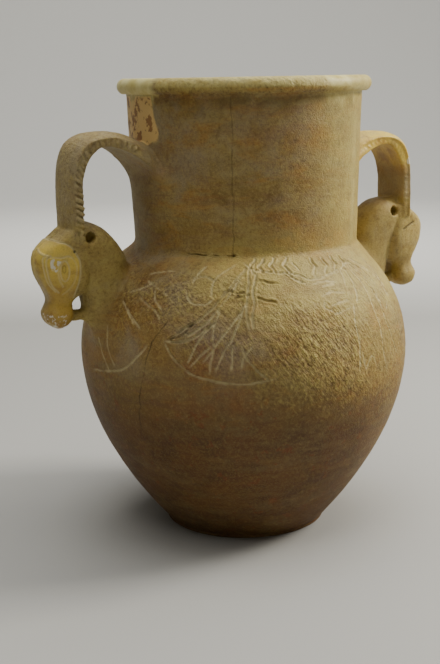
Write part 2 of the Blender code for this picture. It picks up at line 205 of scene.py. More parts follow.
class Strand:
    """A socket of a node tree that takes part in sums."""

    def __init__(self, tree, socket):
        self.tree = tree
        self.socket = socket

    __add__, __radd__ = operator("ADD"), operator("ADD", True)
    __sub__, __rsub__ = operator("SUBTRACT"), operator("SUBTRACT", True)
    __mul__, __rmul__ = operator("MULTIPLY"), operator("MULTIPLY", True)
    __truediv__ = operator("DIVIDE")


class Tree:
    """A node tree, of a material or of geometry nodes."""

    def __init__(self, tree):
        self.tree = tree

    def node(self, kind, settings=None, values=None, output=0):
        """Adds a node of a kind, with its settings set before the values or links of its sockets."""
        made = self.tree.nodes.new(kind)
        for name, setting in (settings or {}).items():
            setattr(made, name, setting)
        for name, value in (values or {}).items():
            if isinstance(value, Strand):
                self.tree.links.new(value.socket, made.inputs[name])
            else:
                made.inputs[name].default_value = value
        return Strand(self, made.outputs[output])

    def maths(self, operation, first, second=0.0):
        """A maths node of two values, or of the first alone."""
        return self.node("ShaderNodeMath", {"operation": operation}, {0: first, 1: second})


def node_group(name, sizes):
    """A geometry node group with a geometry input, named size inputs and a material input."""
    group = bpy.data.node_groups.new(name, "GeometryNodeTree")
    face = group.interface
    face.new_socket("Geometry", in_out="INPUT", socket_type="NodeSocketGeometry")
    for label, kind in sizes:
        face.new_socket(label, in_out="INPUT", socket_type=kind)
    face.new_socket("Stone", in_out="INPUT", socket_type="NodeSocketMaterial")
    face.new_socket("Geometry", in_out="OUTPUT", socket_type="NodeSocketGeometry")
    tree = Tree(group)
    given = group.nodes.new("NodeGroupInput")
    return tree, {socket.name: Strand(tree, socket) for socket in given.outputs if socket.name}


def close_group(tree, shape, given):
    """Ends a group in Realize Instances and Set Material."""
    real = tree.node("GeometryNodeRealizeInstances", {}, {"Geometry": shape})
    painted = tree.node("GeometryNodeSetMaterial", {}, {"Geometry": real, "Material": given["Stone"]})
    end = tree.tree.nodes.new("NodeGroupOutput")
    tree.tree.links.new(painted.socket, end.inputs[0])


def grown(name, points, edges, group, sizes):
    """The mesh that a node group makes from points and edges, with its sizes set by name."""
    mesh = bpy.data.meshes.new(name)
    mesh.from_pydata(points, edges, [])
    carrier = add_object(name, mesh)
    step = carrier.modifiers.new(name, "NODES")
    step.node_group = group
    for item in group.interface.items_tree:
        if item.in_out == "INPUT" and item.name in sizes:
            step[item.identifier] = sizes[item.name]
    carrier.update_tag()
    return applied(carrier)


def turning_group():
    """Turns a profile of points (radius, sideways shift, z) into a closed vessel."""
    tree, given = node_group("Turned vessel", (("Steps Round", "NodeSocketInt"),))
    profile = given["Geometry"]
    count = tree.node("GeometryNodeAttributeDomainSize", {"component": "MESH"}, {"Geometry": profile})
    columns = given["Steps Round"] + 1
    grid = tree.node("GeometryNodeMeshGrid", {}, {"Vertices X": columns, "Vertices Y": count})
    index = tree.node("GeometryNodeInputIndex")
    place = tree.node("GeometryNodeInputPosition")
    column = tree.maths("FLOOR", (index + 0.5) / count)
    row = index - column * count
    values = {"Geometry": profile, "Value": place, "Index": row}
    point = tree.node("GeometryNodeSampleIndex", {"data_type": "FLOAT_VECTOR", "domain": "POINT"}, values)
    parts = tree.node("ShaderNodeSeparateXYZ", {}, {0: point})
    radius, shift, height = (Strand(tree, socket) for socket in parts.socket.node.outputs)
    angle = column * (2 * math.pi) / given["Steps Round"]
    sine, cosine = tree.maths("SINE", angle), tree.maths("COSINE", angle)
    values = {0: radius * sine + shift, 1: 0 - radius * cosine, 2: height}
    turned = tree.node("ShaderNodeCombineXYZ", {}, values)
    shape = tree.node("GeometryNodeSetPosition", {}, {"Geometry": grid, "Position": turned})
    shape = tree.node("GeometryNodeMergeByDistance", {}, {"Geometry": shape, "Distance": SEAM_GAP})
    close_group(tree, shape, given)
    return tree.tree


def twisted_group():
    """Sets small leaning teeth along an edge, one to each pitch."""
    sizes = (("Pitch", "NodeSocketFloat"), ("Tooth Size", "NodeSocketVector"), ("Lean", "NodeSocketVector"))
    tree, given = node_group("Twisted edge", sizes)

    def turned_by(turn, more):
        values = {"Rotation": turn, "Rotate By": more}
        return tree.node("FunctionNodeRotateRotation", {"rotation_space": "LOCAL"}, values)

    def varied(least, most, seed):
        values = {0: least, 1: most, 8: seed}
        return tree.node("FunctionNodeRandomValue", {"data_type": "FLOAT_VECTOR"}, values)

    edge = tree.node("GeometryNodeMeshToCurve", {}, {"Mesh": given["Geometry"]})
    values = {"Curve": edge, "Length": given["Pitch"]}
    points = tree.node("GeometryNodeCurveToPoints", {"mode": "LENGTH"}, values)
    turn = turned_by(Strand(tree, points.socket.node.outputs["Rotation"]), given["Lean"])
    tooth = tree.node("GeometryNodeMeshIcoSphere", {}, {"Radius": 1.0, "Subdivisions": 2})
    values = {0: given["Tooth Size"], 1: varied(TOOTH_LEAST, TOOTH_MOST, SIZE_SEED)}
    size = tree.node("ShaderNodeVectorMath", {"operation": "MULTIPLY"}, values)
    turn = turned_by(turn, varied((-TOOTH_SWAY,) * 3, (TOOTH_SWAY,) * 3, SWAY_SEED))
    values = {"Points": points, "Instance": tooth, "Rotation": turn, "Scale": size}
    close_group(tree, tree.node("GeometryNodeInstanceOnPoints", {}, values), given)
    return tree.tree


def spaced(points, step):
    """Points along a line, about one step apart, with both ends kept."""
    points = np.array(points)
    run = np.concatenate([[0], np.cumsum(np.linalg.norm(np.diff(points, axis=0), axis=1))])
    places = np.linspace(0, run[-1], max(2, round(run[-1] / step) + 1))
    return [tuple(np.interp(place, run, column) for column in points.T) for place in places]


def corner(middle, radius, first, last, count=6):
    """Points (radius, z) round a corner from one angle to another."""
    return [
        (middle[0] + radius * math.cos(angle), middle[1] + radius * math.sin(angle))
        for angle in between(math.radians(first), math.radians(last), count)
    ]


def shift_at(z):
    """How far the vessel's middle lies to the right at a height."""
    return NECK_SHIFT * eased(z, SHIFT_START, SHIFT_END)


def outside_line():
    """The outer profile (radius, z) from the foot's edge to the lip's top, in fine steps."""
    foot_low = FOOT_RADIUS - FOOT_STEP
    foot = corner((foot_low - FOOT_ROUNDING, FOOT_ROUNDING), FOOT_ROUNDING, -90, 0, 4)
    foot += [(foot_low, FOOT_EDGE - 0.0006), (FOOT_RADIUS, FOOT_EDGE + 0.0003)]
    low = SHOULDER_HEIGHT - NECK_FILLET
    body = [(body_radius(z), z) for z in between(FOOT_EDGE + 0.001, low, 200)]
    high = SHOULDER_HEIGHT + NECK_FILLET * FILLET_RISE
    start, bend, end = body[-1], (NECK_RADIUS, SHOULDER_HEIGHT - 0.0003), (neck_radius(high), high)
    fillet = [
        tuple((1 - t) ** 2 * a + 2 * t * (1 - t) * b + t * t * c for a, b, c in zip(start, bend, end))
        for t in between(0, 1, 6)
    ][1:]
    lip_middle = LIP_Z + LIP_HEIGHT / 2
    lip_radius = NECK_TOP_RADIUS + LIP_OVERHANG
    neck = [(neck_radius(z), z) for z in between(high, LIP_Z + 0.0006, 60)][1:]
    lip = corner((lip_radius - LIP_HEIGHT / 2, lip_middle), LIP_HEIGHT / 2, -68, 86, 14)
    return foot, body, fillet, neck, lip


def vessel_profile():
    """The whole profile: underside, outside, lip, bore, hollow and floor."""
    foot, body, fillet, neck, lip = outside_line()
    bore = NECK_RADIUS - NECK_WALL
    mouth = NECK_TOP_RADIUS - NECK_WALL
    top = SHOULDER_HEIGHT - SHOULDER_WALL
    rim = corner((mouth + MOUTH_ROUNDING, HEIGHT - MOUTH_ROUNDING), MOUTH_ROUNDING, 92, 180, 5)
    inside = [(mouth, LIP_Z), (bore, SHOULDER_HEIGHT), (bore, top + 0.001)]
    heights = between(top, FLOOR_THICKNESS + 0.009, 60)
    cavity = [(max(body_radius(z) - BODY_WALL, bore + 0.0002), z) for z in heights]
    low_radius = cavity[-1][0]
    floor = [(low_radius * 0.985, FLOOR_THICKNESS + 0.005), (low_radius * 0.95, FLOOR_THICKNESS + 0.0015)]
    floor += [(low_radius * 0.9, FLOOR_THICKNESS), (0, FLOOR_THICKNESS)]
    line = spaced([(0, 0), (FOOT_RADIUS - 0.002, 0)], 0.012) + foot
    line += spaced(body, WIDE_STEP) + fillet + spaced(neck, WIDE_STEP) + lip + rim
    line += spaced([rim[-1]] + inside, INSIDE_STEP)[1:]
    line += spaced(cavity, INSIDE_STEP) + spaced(floor, INSIDE_STEP)[1:]
    return [(radius, shift_at(z), z) for radius, z in line]


OUTSIDE = np.array([point for part in outside_line()[:4] for point in part])


def outer_radius(z):
    """The vessel's outer radius at a height, read from its profile."""
    return np.interp(z, OUTSIDE[:, 1], OUTSIDE[:, 0])


def round_axis(points):
    """(angle, radius, z, shift) of points round the vessel's axis, which the neck shifts sideways."""
    shift = shift_at(points[:, 2])
    across = points[:, 0] - shift
    return np.arctan2(across, -points[:, 1]), np.hypot(across, points[:, 1]), points[:, 2], shift


# Rows of the head: share of its height, then back, front, half width and how far the half width narrows
# to the front, as shares of it, measured out from the line that the animal is carved about
HEAD_ROWS = (
    (0.000, 0.160, 0.225, 0.070, 0.00),
    (0.035, 0.105, 0.280, 0.135, 0.00),
    (0.085, 0.062, 0.318, 0.163, 0.00),
    (0.150, 0.050, 0.332, 0.168, 0.00),
    (0.205, 0.056, 0.310, 0.152, 0.02),
    (0.255, 0.040, 0.290, 0.146, 0.06),
    (0.310, -0.030, 0.296, 0.172, 0.14),
    (0.370, -0.085, 0.322, 0.216, 0.22),
    (0.440, -0.105, 0.356, 0.246, 0.27),
    (0.520, -0.115, 0.390, 0.261, 0.28),
    (0.600, -0.115, 0.406, 0.262, 0.28),
    (0.680, -0.110, 0.405, 0.261, 0.27),
    (0.750, -0.105, 0.374, 0.255, 0.25),
    (0.820, -0.095, 0.302, 0.248, 0.18),
    (0.885, -0.080, 0.198, 0.238, 0.09),
    (0.940, -0.060, 0.120, 0.212, 0.00),
)
HEAD_POWER = 3.0
CHEST_ROWS = (
    (-0.200, -0.420, -0.185, 0.110, 0.0),
    (-0.060, -0.400, -0.130, 0.140, 0.0),
    (0.060, -0.400, -0.095, 0.150, 0.0),
    (0.200, -0.450, -0.070, 0.165, 0.0),
    (0.330, -0.520, -0.045, 0.180, 0.0),
    (0.450, -0.560, -0.010, 0.195, 0.0),
    (0.600, -0.540, 0.040, 0.215, 0.0),
    (0.700, -0.480, 0.080, 0.230, 0.0),
    (0.790, -0.420, 0.110, 0.238, 0.0),
    (0.870, -0.350, 0.120, 0.232, 0.0),
    (0.935, -0.280, 0.105, 0.200, 0.0),
    (0.980, -0.200, 0.070, 0.140, 0.0),
    (1.000, -0.140, 0.020, 0.070, 0.0),
)
CHEST_POWER = 2.6
STRUT_FRONT = (0.100, 0.105)
STRUT_MIDDLE = (-0.050, 0.095)
STRUT_BACK = (-0.170, 0.090)
STRUT_HALVES = (0.060, 0.057, 0.075)


def ring_angles(count):
    """Evenly spaced angles round a ring, half a step from its start."""
    return [2 * math.pi * (side + 0.5) / count for side in range(count)]


class Handle:
    """One handle's measures. side is -1 on the left and +1 on the right."""

    def __init__(self, name, side, gap, loop_height, root_top, ear_out):
        self.name = name
        self.side = side
        self.inner = NECK_RADIUS + gap + side * NECK_SHIFT
        self.loop_z = SHOULDER_HEIGHT + loop_height
        self.root_z = SHOULDER_HEIGHT + root_top
        self.ear_out = ear_out
        self.low = SHOULDER_HEIGHT + CROWN_ABOVE_SHOULDER - ANIMAL_HEIGHT
        self.tooth_share = 1.0 if side < 0 else WORN_TOOTH_SHARE

    def point(self, reach, across, z):
        """The place at a distance out from the vessel's middle, on this handle's side."""
        return (self.side * reach, across, z)

    def carved(self, out, up):
        """(reach, z) of a place given in shares of the animal's height."""
        return NECK_RADIUS + ANIMAL_GAP + out * ANIMAL_HEIGHT, self.low + up * ANIMAL_HEIGHT

    def rings(self, table, power):
        """Rings of a form whose level sections are rounded squares."""
        made = []
        for share in between(table[0][0], table[-1][0], RING_STEPS):
            back, front, half, narrow = at_share(table, share)
            inner, z = self.carved(back, share)
            outer, _ = self.carved(front, share)
            ring = []
            for angle in ring_angles(RING_SIDES):
                across, along = math.cos(angle), math.sin(angle)
                across = math.copysign(abs(across) ** (2 / power), across)
                along = math.copysign(abs(along) ** (2 / power), along)
                reach = (inner + outer) / 2 + along * (outer - inner) / 2
                width = half * (1 - narrow * (1 + along) / 2) * ANIMAL_HEIGHT
                ring.append(self.point(reach, across * width, z))
            made.append(ring)
        return made


HANDLES = (
    Handle("left", -1, LEFT_GAP, LEFT_LOOP_HEIGHT, LEFT_ROOT_TOP, LEFT_EAR_OUT),
    Handle("right", 1, RIGHT_GAP, RIGHT_LOOP_HEIGHT, RIGHT_ROOT_TOP, RIGHT_EAR_OUT),
)


def bezier(points, share):
    """The place at a share of a curve that starts and ends at the first and last of its four points."""
    rest = 1 - share
    weights = (rest**3, 3 * rest * rest * share, 3 * rest * share * share, share**3)
    return [sum(weight * point[axis] for weight, point in zip(weights, points)) for axis in (0, 1)]


def horn_lines(handle):
    """Pairs of places (reach, z) up the horns' outer and inner faces, from the crown to the neck."""
    inner = handle.inner
    outer = inner + HORN_THICKNESS + HORN_CROWN
    outer_top = handle.loop_z
    inner_top = outer_top - HORN_THICKNESS - HORN_CROWN
    root_low = SHOULDER_HEIGHT + ROOT_LOW
    start = handle.carved(0, HORN_START)[1]
    spring = inner_top - SPRING_SHARE * (inner - NECK_RADIUS)
    neck_top = neck_radius(handle.root_z) + handle.side * NECK_SHIFT - BURIED
    neck_low = neck_radius(root_low) + handle.side * NECK_SHIFT - BURIED
    outer_peak = inner - OUTER_PEAK * (inner - neck_top)
    inner_peak = inner - INNER_PEAK * (inner - neck_low)

    def rise(reach, peak, top, lift, turn):
        over = (mixed(peak, reach, turn), top)
        return ((reach, spring), (reach, mixed(spring, top, lift)), over, (peak, top))

    def fall(peak, top, neck, low, arrival):
        over = (mixed(peak, neck, TOP_RUN), top)
        return ((peak, top), over, (mixed(neck, peak, arrival[0]), mixed(low, top, arrival[1])), (neck, low))

    up = rise(outer, outer_peak, outer_top, OUTER_RISE, OUTER_TURN)
    under = rise(inner, inner_peak, inner_top, INNER_RISE, INNER_TURN)
    drop = fall(outer_peak, outer_top, neck_top, handle.root_z, OUTER_ARRIVAL)
    sweep = fall(inner_peak, inner_top, neck_low, root_low, INNER_ARRIVAL)
    pairs = [((outer, z), (inner, z)) for z in between(start, spring, 16)[:-1]]
    pairs += [(bezier(up, share), bezier(under, share)) for share in between(0, 1, 26)[:-1]]
    pairs += [(bezier(drop, share), bezier(sweep, share)) for share in between(0, 1, 26)]
    return pairs


# The small teeth: how far up they sit from the horns' inner face (0) to the outer (1), where their line
# starts and ends, their size and their lean
TOOTH_LIFT = 0.27
TOOTH_START = 0.93
TOOTH_END = 0.012
TOOTH_SIZE = (0.0030, 0.0011, 0.00135)
TOOTH_LEAN = math.radians(28)
# The horns' section: the outer face's dome, then the stepped edge as shares across and up
DOME_LIFT = 0.6
DOME_DROP = 0.38
DOME_POWER = 2.2
EDGE_SECTION = ((1.0, 0.60), (1.0, 0.53), (0.955, 0.46), (0.945, 0.30), (0.94, 0.12), (0.925, 0.0))


def horn_halves(handle, inner_reach):
    """Half widths of the horns' outer and inner faces, which spread towards the neck."""
    rise = min(max((handle.inner - inner_reach) / (handle.inner - NECK_RADIUS), 0), 1) ** 3
    return (
        (HORN_WIDTH + (ROOT_TOP_WIDTH - HORN_WIDTH) * rise) / 2,
        (HORN_WIDTH + (ROOT_LOW_WIDTH - HORN_WIDTH) * rise) / 2,
    )


def horn_rings(handle):
    """Rings across the horns: a domed outer face, a stepped edge and a flat inner face."""
    dome = [(u, 1 - DOME_DROP * abs(u) ** DOME_POWER) for u in between(-0.97, 0.97, 16)]
    right = list(EDGE_SECTION)
    under = [(u, 0.0) for u in between(0.8, -0.8, 10)]
    left = [(-across, lift) for across, lift in reversed(EDGE_SECTION)]
    made = []
    for outer, inner in horn_lines(handle):
        top_half, low_half = horn_halves(handle, inner[0])
        ring = []
        for across, lift in dome + right + under + left:
            half = low_half + (top_half - low_half) * min(1, lift / DOME_LIFT)
            reach, z = (low + (high - low) * lift for low, high in zip(inner, outer))
            ring.append(handle.point(reach, across * half, z))
        made.append(ring)
    return made


def tooth_line(handle, face):
    """The line that the small teeth follow on one edge of the horns, from above the head to the neck."""
    line = []
    for outer, inner in horn_lines(handle):
        top_half, low_half = horn_halves(handle, inner[0])
        half = low_half + (top_half - low_half) * TOOTH_LIFT / DOME_LIFT
        reach, z = (low + (high - low) * TOOTH_LIFT for low, high in zip(inner, outer))
        if z > handle.carved(0, TOOTH_START)[1] and reach > NECK_RADIUS + TOOTH_END:
            line.append(handle.point(reach, face * half * 0.95, z))
    return line


def add_object(name, data):
    """A new object of the scene that holds a mesh, a light or a camera."""
    found = bpy.data.objects.new(name, data)
    bpy.context.scene.collection.objects.link(found)
    return found


def loft(name, rings):
    """A closed solid through rings of equally many points, with a fan at each end."""
    mesh = bmesh.new()
    made = [[mesh.verts.new(point) for point in ring] for ring in rings]
    for low, high in zip(made, made[1:]):
        for i, start in enumerate(low):
            follow = (i + 1) % len(low)
            mesh.faces.new((start, low[follow], high[follow], high[i]))
    for ring in (made[0], made[-1]):
        centre = mesh.verts.new([sum(start.co[axis] for start in ring) / len(ring) for axis in range(3)])
        for i, start in enumerate(ring):
            mesh.faces.new((start, ring[(i + 1) % len(ring)], centre))
    bmesh.ops.recalc_face_normals(mesh, faces=mesh.faces)
    data = bpy.data.meshes.new(name)
    mesh.to_mesh(data)
    mesh.free()
    return add_object(name, data)


def strut(handle):
    """The bridge of stone from the muzzle back to the chest."""
    middles = zip((0.0, 0.5, 1.0), (STRUT_FRONT, STRUT_MIDDLE, STRUT_BACK), STRUT_HALVES)
    rows = [(share, *middle, half) for share, middle, half in middles]
    rings = []
    for share in between(0, 1, 8):
        out, up, half = at_share(rows, share)
        reach, z = handle.carved(out, up)
        size = half * ANIMAL_HEIGHT
        turns = [(math.cos(angle) * size, math.sin(angle) * size) for angle in ring_angles(SMALL_RING_SIDES)]
        rings.append([handle.point(reach, across, z + rise) for across, rise in turns])
    return loft(handle.name + "_strut", rings)


def ear_socket(handle, face):
    """The round hole where an ear was set, a little narrower at its bottom."""
    reach, z = handle.carved(handle.ear_out, EAR_UP)
    half = at_share(CHEST_ROWS, EAR_UP)[2] * ANIMAL_HEIGHT
    rings = []
    for depth in between(half - EAR_DEPTH, half * 1.5, 6):
        size = EAR_RADIUS * (0.88 if depth < half - EAR_DEPTH * 0.9 else 1)
        turns = [(size * math.cos(angle), size * math.sin(angle)) for angle in ring_angles(SMALL_RING_SIDES)]
        rings.append([handle.point(reach + run, face * depth, z + rise) for run, rise in turns])
    return loft(f"{handle.name}_ear_{face}", rings)


def applied(carrier):
    """Turns an object with its modifiers into a plain mesh and removes the object."""
    bpy.context.view_layer.update()
    graph = bpy.context.evaluated_depsgraph_get()
    made = bpy.data.meshes.new_from_object(carrier.evaluated_get(graph), depsgraph=graph)
    bpy.data.objects.remove(carrier)
    return made


def joined_stone(base, others, cut=()):
    """One closed mesh of the base with others added and the last ones cut away."""
    for helper in (*others, *cut):
        step = base.modifiers.new(helper.name, "BOOLEAN")
        step.operation = "DIFFERENCE" if helper in cut else "UNION"
        step.object = helper
        step.solver = "MANIFOLD"
    made = applied(base)
    for helper in (*others, *cut):
        bpy.data.objects.remove(helper)
    return made


def carved_handle(handle, teeth_group, material):
    """One handle as an even, fine mesh: head, chest, horns, strut, ear sockets and the horns' teeth."""
    chest = loft(handle.name + "_chest", handle.rings(CHEST_ROWS, CHEST_POWER))
    head = loft(handle.name + "_head", handle.rings(HEAD_ROWS, HEAD_POWER))
    horns = loft(handle.name + "_horns", horn_rings(handle))
    sockets = [ear_socket(handle, face) for face in (-1, 1)]
    solid = joined_stone(chest, [head, horns, strut(handle)], sockets)
    shape = bmesh.new()
    shape.from_mesh(solid)
    for face in (-1, 1):
        line = tooth_line(handle, face)
        lean = (0.0, TOOTH_LEAN * face * handle.side, 0.0)
        size = tuple(side * handle.tooth_share for side in TOOTH_SIZE)
        sizes = {"Pitch": NOTCH_PITCH, "Tooth Size": size, "Lean": lean, "Stone": material}
        teeth = grown("teeth", line, [(i, i + 1) for i in range(len(line) - 1)], teeth_group, sizes)
        shape.from_mesh(teeth)
    shape.to_mesh(solid)
    shape.free()
    carrier = add_object(handle.name + "_handle", solid)
    step = carrier.modifiers.new("even", "REMESH")
    step.mode = "VOXEL"
    step.voxel_size = HANDLE_VOXEL
    return applied(carrier)


def refined(shape, chosen, cuts):
    """Splits the edges of the chosen faces, and lets their neighbours take up the new corners."""
    edges = {edge for face in chosen for edge in face.edges}
    bmesh.ops.subdivide_edges(shape, edges=list(edges), cuts=cuts, use_grid_fill=True)


def in_front(middle, low, high, bottom, top):
    """True for a place on the outside between two angles and two heights."""
    turn = math.degrees(math.atan2(middle.x, -middle.y))
    radius = math.hypot(middle.x, middle.y)
    return low < turn < high and bottom < middle.z < top and radius > outer_radius(middle.z) - 0.008


def on_mask(middle):
    """True for the front and near side of the left head."""
    out = (-middle.x - NECK_RADIUS - ANIMAL_GAP) / ANIMAL_HEIGHT
    up = (middle.z - HANDLES[0].low) / ANIMAL_HEIGHT
    return out > 0.0 and 0.0 < up < 0.9 and middle.y < 0.003


def turned_vessel(group, material):
    """The vessel, turned by the node group and made finer where it is carved and seen."""
    profile = vessel_profile()
    edges = [(i, i + 1) for i in range(len(profile) - 1)]
    mesh = grown("vessel", profile, edges, group, {"Steps Round": ROUND_STEPS, "Stone": material})
    shape = bmesh.new()
    shape.from_mesh(mesh)
    for part, cuts in ((SEEN_PART, 1), (ENGRAVED_PART, 2))[: 2]:
        chosen = [face for face in shape.faces if in_front(face.calc_center_median(), *part)]
        refined(shape, chosen, cuts)
    bmesh.ops.triangulate(shape, faces=[face for face in shape.faces if len(face.verts) > 4])
    bmesh.ops.recalc_face_normals(shape, faces=shape.faces)
    shape.to_mesh(mesh)
    shape.free()
    points = read_points(mesh)
    angle, radius, z, shift = round_axis(points)
    wanted = outer_radius(z)
    outside = (np.abs(radius - wanted) < 0.0015) & (z > FOOT_EDGE) & (z < LIP_Z)
    radius = np.where(outside, wanted, radius)
    points[:, 0] = np.where(outside, radius * np.sin(angle) + shift, points[:, 0])
    points[:, 1] = np.where(outside, -radius * np.cos(angle), points[:, 1])
    write_points(mesh, points)
    return add_object("amphora_stone", mesh)


def read_rows(source, name):
    """The three values of every item of a mesh, as rows."""
    values = np.empty(len(source) * 3)
    source.foreach_get(name, values)
    return values.reshape(-1, 3)


def read_points(mesh):
    """The places of a mesh's points."""
    return read_rows(mesh.vertices, "co")


def write_points(mesh, points):
    """Moves a mesh's points to new places."""
    mesh.vertices.foreach_set("co", points.ravel())
    mesh.update()


def smoothed(mesh, values, weight, rounds):
    """Values evened out with their neighbours' where the weight asks for it."""
    ends = np.empty(len(mesh.edges) * 2, np.int32)
    mesh.edges.foreach_get("vertices", ends)
    first, second = ends.reshape(-1, 2).T
    count = np.bincount(first, minlength=len(values)) + np.bincount(second, minlength=len(values))
    weight = weight[:, None] / np.maximum(count, 1)[:, None]
    for _ in range(rounds):
        total = np.zeros_like(values)
        for axis in range(values.shape[1]):
            total[:, axis] = np.bincount(first, values[second, axis], len(values))
            total[:, axis] += np.bincount(second, values[first, axis], len(values))
        values = values + weight * total - weight * np.maximum(count, 1)[:, None] * values
    return values


def grain(points, size, seed):
    """Smooth noise from -1 to 1 with features of a size, the same for the same place and seed."""
    cell = points / size + seed * 17.31
    base = np.floor(cell).astype(np.int64)
    part = cell - base
    part = part * part * (3 - 2 * part)
    total = np.zeros(len(points))
    for step in range(8):
        offset = np.array([step & 1, step >> 1 & 1, step >> 2 & 1])
        corner_cell = base + offset
        mix = corner_cell[:, 0] * 374761393 + corner_cell[:, 1] * 668265263 + corner_cell[:, 2] * 2147483647
        mix = (mix ^ (mix >> 13)) * 1274126177
        mix = (mix ^ (mix >> 16)) & 0xFFFF
        weight = np.prod(np.where(offset == 1, part, 1 - part), axis=1)
        total += weight * (mix / 32767.5 - 1)
    return total


def layered(points, size, seed, layers=3):
    """Noise in layers, each of half the size and a little over half the strength of the one before."""
    strength = 0.55
    return sum(grain(points, size / 2**i, seed + i) * strength**i for i in range(layers))


def line_distance(points, line, reach):
    """Each point's distance to a line, at most reach, and the share of the line where it is nearest."""
    line = np.array(line)
    found = np.full(len(points), reach, float)
    along = np.zeros(len(points))
    low, high = line.min(axis=0) - reach, line.max(axis=0) + reach
    near = np.flatnonzero(np.all((points > low) & (points < high), axis=1))
    chosen = points[near]
    best = np.full(len(near), reach, float)
    share = np.zeros(len(near))
    for i, (start, end) in enumerate(zip(line, line[1:])):
        run = end - start
        part = np.clip((chosen - start) @ run / max(run @ run, 1e-12), 0, 1)
        gap = np.linalg.norm(chosen - start - part[:, None] * run, axis=1)
        closer = gap < best
        best[closer] = gap[closer]
        share[closer] = (i + part[closer]) / (len(line) - 1)
    found[near] = best
    along[near] = share
    return found, along


def curve_through(places, steps=6):
    """A smooth curve through places, with a few steps from each to the next."""
    rows = [(i, *place) for i, place in enumerate(places)]
    return [at_share(rows, share) for share in between(0, len(places) - 1, steps * (len(places) - 1))]


def on_surface(places):
    """Places (angle in degrees, z in millimetres) as points on the vessel's outside."""
    line = []
    for turn, z in curve_through(places):
        z /= 1000
        angle = math.radians(turn)
        radius = float(outer_radius(z))
        line.append((radius * math.sin(angle) + shift_at(z), -radius * math.cos(angle), z))
    return line


# Strokes engraved on the shoulder: places (angle, z in millimetres), then the depth as a share of
# STROKE_DEPTH and the half width in millimetres
STROKES = (
    (((-27, 214), (-28, 208), (-28, 198), (-29, 184), (-28, 173)), 0.75, 0.85),
    (((-24, 208), (-26, 198), (-26, 190), (-27, 182), (-27, 173)), 0.7, 0.85),
    (((-29, 211), (-36, 197), (-43, 183), (-51, 171), (-55, 165)), 0.9, 0.95),
    (((-31, 205), (-37, 190), (-43, 177), (-49, 168)), 0.5, 0.8),
    (((-29, 190), (-33, 178), (-38, 166), (-43, 152)), 0.4, 0.75),
    (((-34, 213), (-37, 210), (-41, 205), (-42, 200), (-42, 194)), 0.5, 0.75),
    (((-47, 212), (-49, 207), (-50, 202)), 0.45, 0.75),
    (((-51, 204), (-47, 206), (-42, 204)), 0.55, 0.8),
    (((-30, 188), (-32, 175), (-36, 160), (-39, 146)), 0.6, 0.75),
    (((-38, 187), (-40, 173), (-40, 162), (-41, 144)), 0.55, 0.75),
    (((-41, 176), (-44, 168), (-46, 160), (-48, 150)), 0.6, 0.75),
    (((-41, 162), (-44, 156), (-47, 148)), 0.5, 0.7),
    (((-31, 163), (-29, 154), (-26, 146), (-22, 139)), 0.65, 0.8),
    (((-34, 162), (-34, 147)), 0.35, 0.7),
    (((-57, 164), (-51, 164), (-46, 168), (-43, 173), (-39, 178)), 0.7, 0.85),
    (
        ((-57, 164), (-54, 156), (-50, 148), (-45, 142), (-41, 140), (-36, 138), (-30, 137), (-20, 140)),
        0.6,
        0.8,
    ),
    (
        ((-31, 214), (-26, 210), (-21, 208), (-8, 206), (-3, 202), (2, 202), (9, 204), (18, 206), (23, 210)),
        0.55,
        0.8,
    ),
    (((18, 206), (18, 198), (17, 190), (15, 184)), 0.4, 0.75),
    (((21, 206), (23, 194), (23, 178), (23, 162), (23, 148), (25, 132)), 0.45, 0.75),
    (((20, 212), (27, 205), (31, 196), (33, 186), (34, 179), (32, 174)), 0.6, 0.85),
    (((26, 196), (28, 184), (28, 172)), 0.5, 0.85),
    (((37, 209), (39, 196), (39, 180)), 0.5, 0.85),
    (((22, 209), (27, 198), (29, 186), (28, 170), (30, 156), (33, 142)), 0.5, 0.8),
    (((25, 211), (33, 203), (37, 192), (38, 178)), 0.45, 0.8),
    (((13, 183), (11, 172), (11, 156), (10, 138)), 0.3, 0.7),
    (((-71, 201), (-63, 196), (-59, 193)), 0.5, 0.8),
    (((-71, 190), (-66, 186), (-62, 182), (-60, 178)), 0.55, 0.8),
    (((-76, 182), (-67, 170)), 0.55, 0.8),
    (((-92, 132), (-76, 138), (-69, 146), (-63, 160)), 0.45, 0.8),
    (((0, 191), (5, 193), (11, 191)), 0.45, 0.85),
    (((3, 185), (11, 186)), 0.5, 0.85),
    (((1, 188), (0, 184), (3, 181)), 0.3, 0.75),
    (((3, 179), (11, 181)), 0.35, 0.8),
    (((2, 197), (8, 198)), 0.3, 0.8),
    (((-2, 199), (4, 200), (9, 199)), 0.2, 0.8),
    (((12, 150), (13, 138), (16, 146), (19, 136)), 0.2, 0.7),
    (((30, 204), (37, 196), (41, 186)), 0.3, 0.75),
    (((15, 205), (13, 196), (12, 188)), 0.25, 0.7),
    (((-78, 192), (-72, 196), (-67, 200)), 0.3, 0.8),
    (((-80, 186), (-74, 178), (-70, 172)), 0.3, 0.8),
    (((-66, 200), (-64, 190), (-60, 184)), 0.25, 0.8),
    (((-72, 205), (-66, 207), (-60, 208)), 0.2, 0.8),
    (((-52, 196), (-49, 190), (-44, 189), (-41, 193)), 0.3, 0.8),
    (((-27, 163), (-30, 156), (-31, 148)), 0.25, 0.7),
    (((-88, 172), (-86, 152), (-80, 136)), 0.3, 0.7),
    (((-83, 168), (-82, 154), (-77, 141)), 0.25, 0.7),
    (((-12, 207), (-9, 203), (-5, 200)), 0.5, 0.85),
    (((-9, 213), (-6, 208)), 0.3, 0.7),
)
STROKE_DEPTH = 0.0020
STROKE_WIDENING = 1.1
# How high the stone stands beside a cut, as a share of the cut's depth
EDGE_LIFT = 0.45
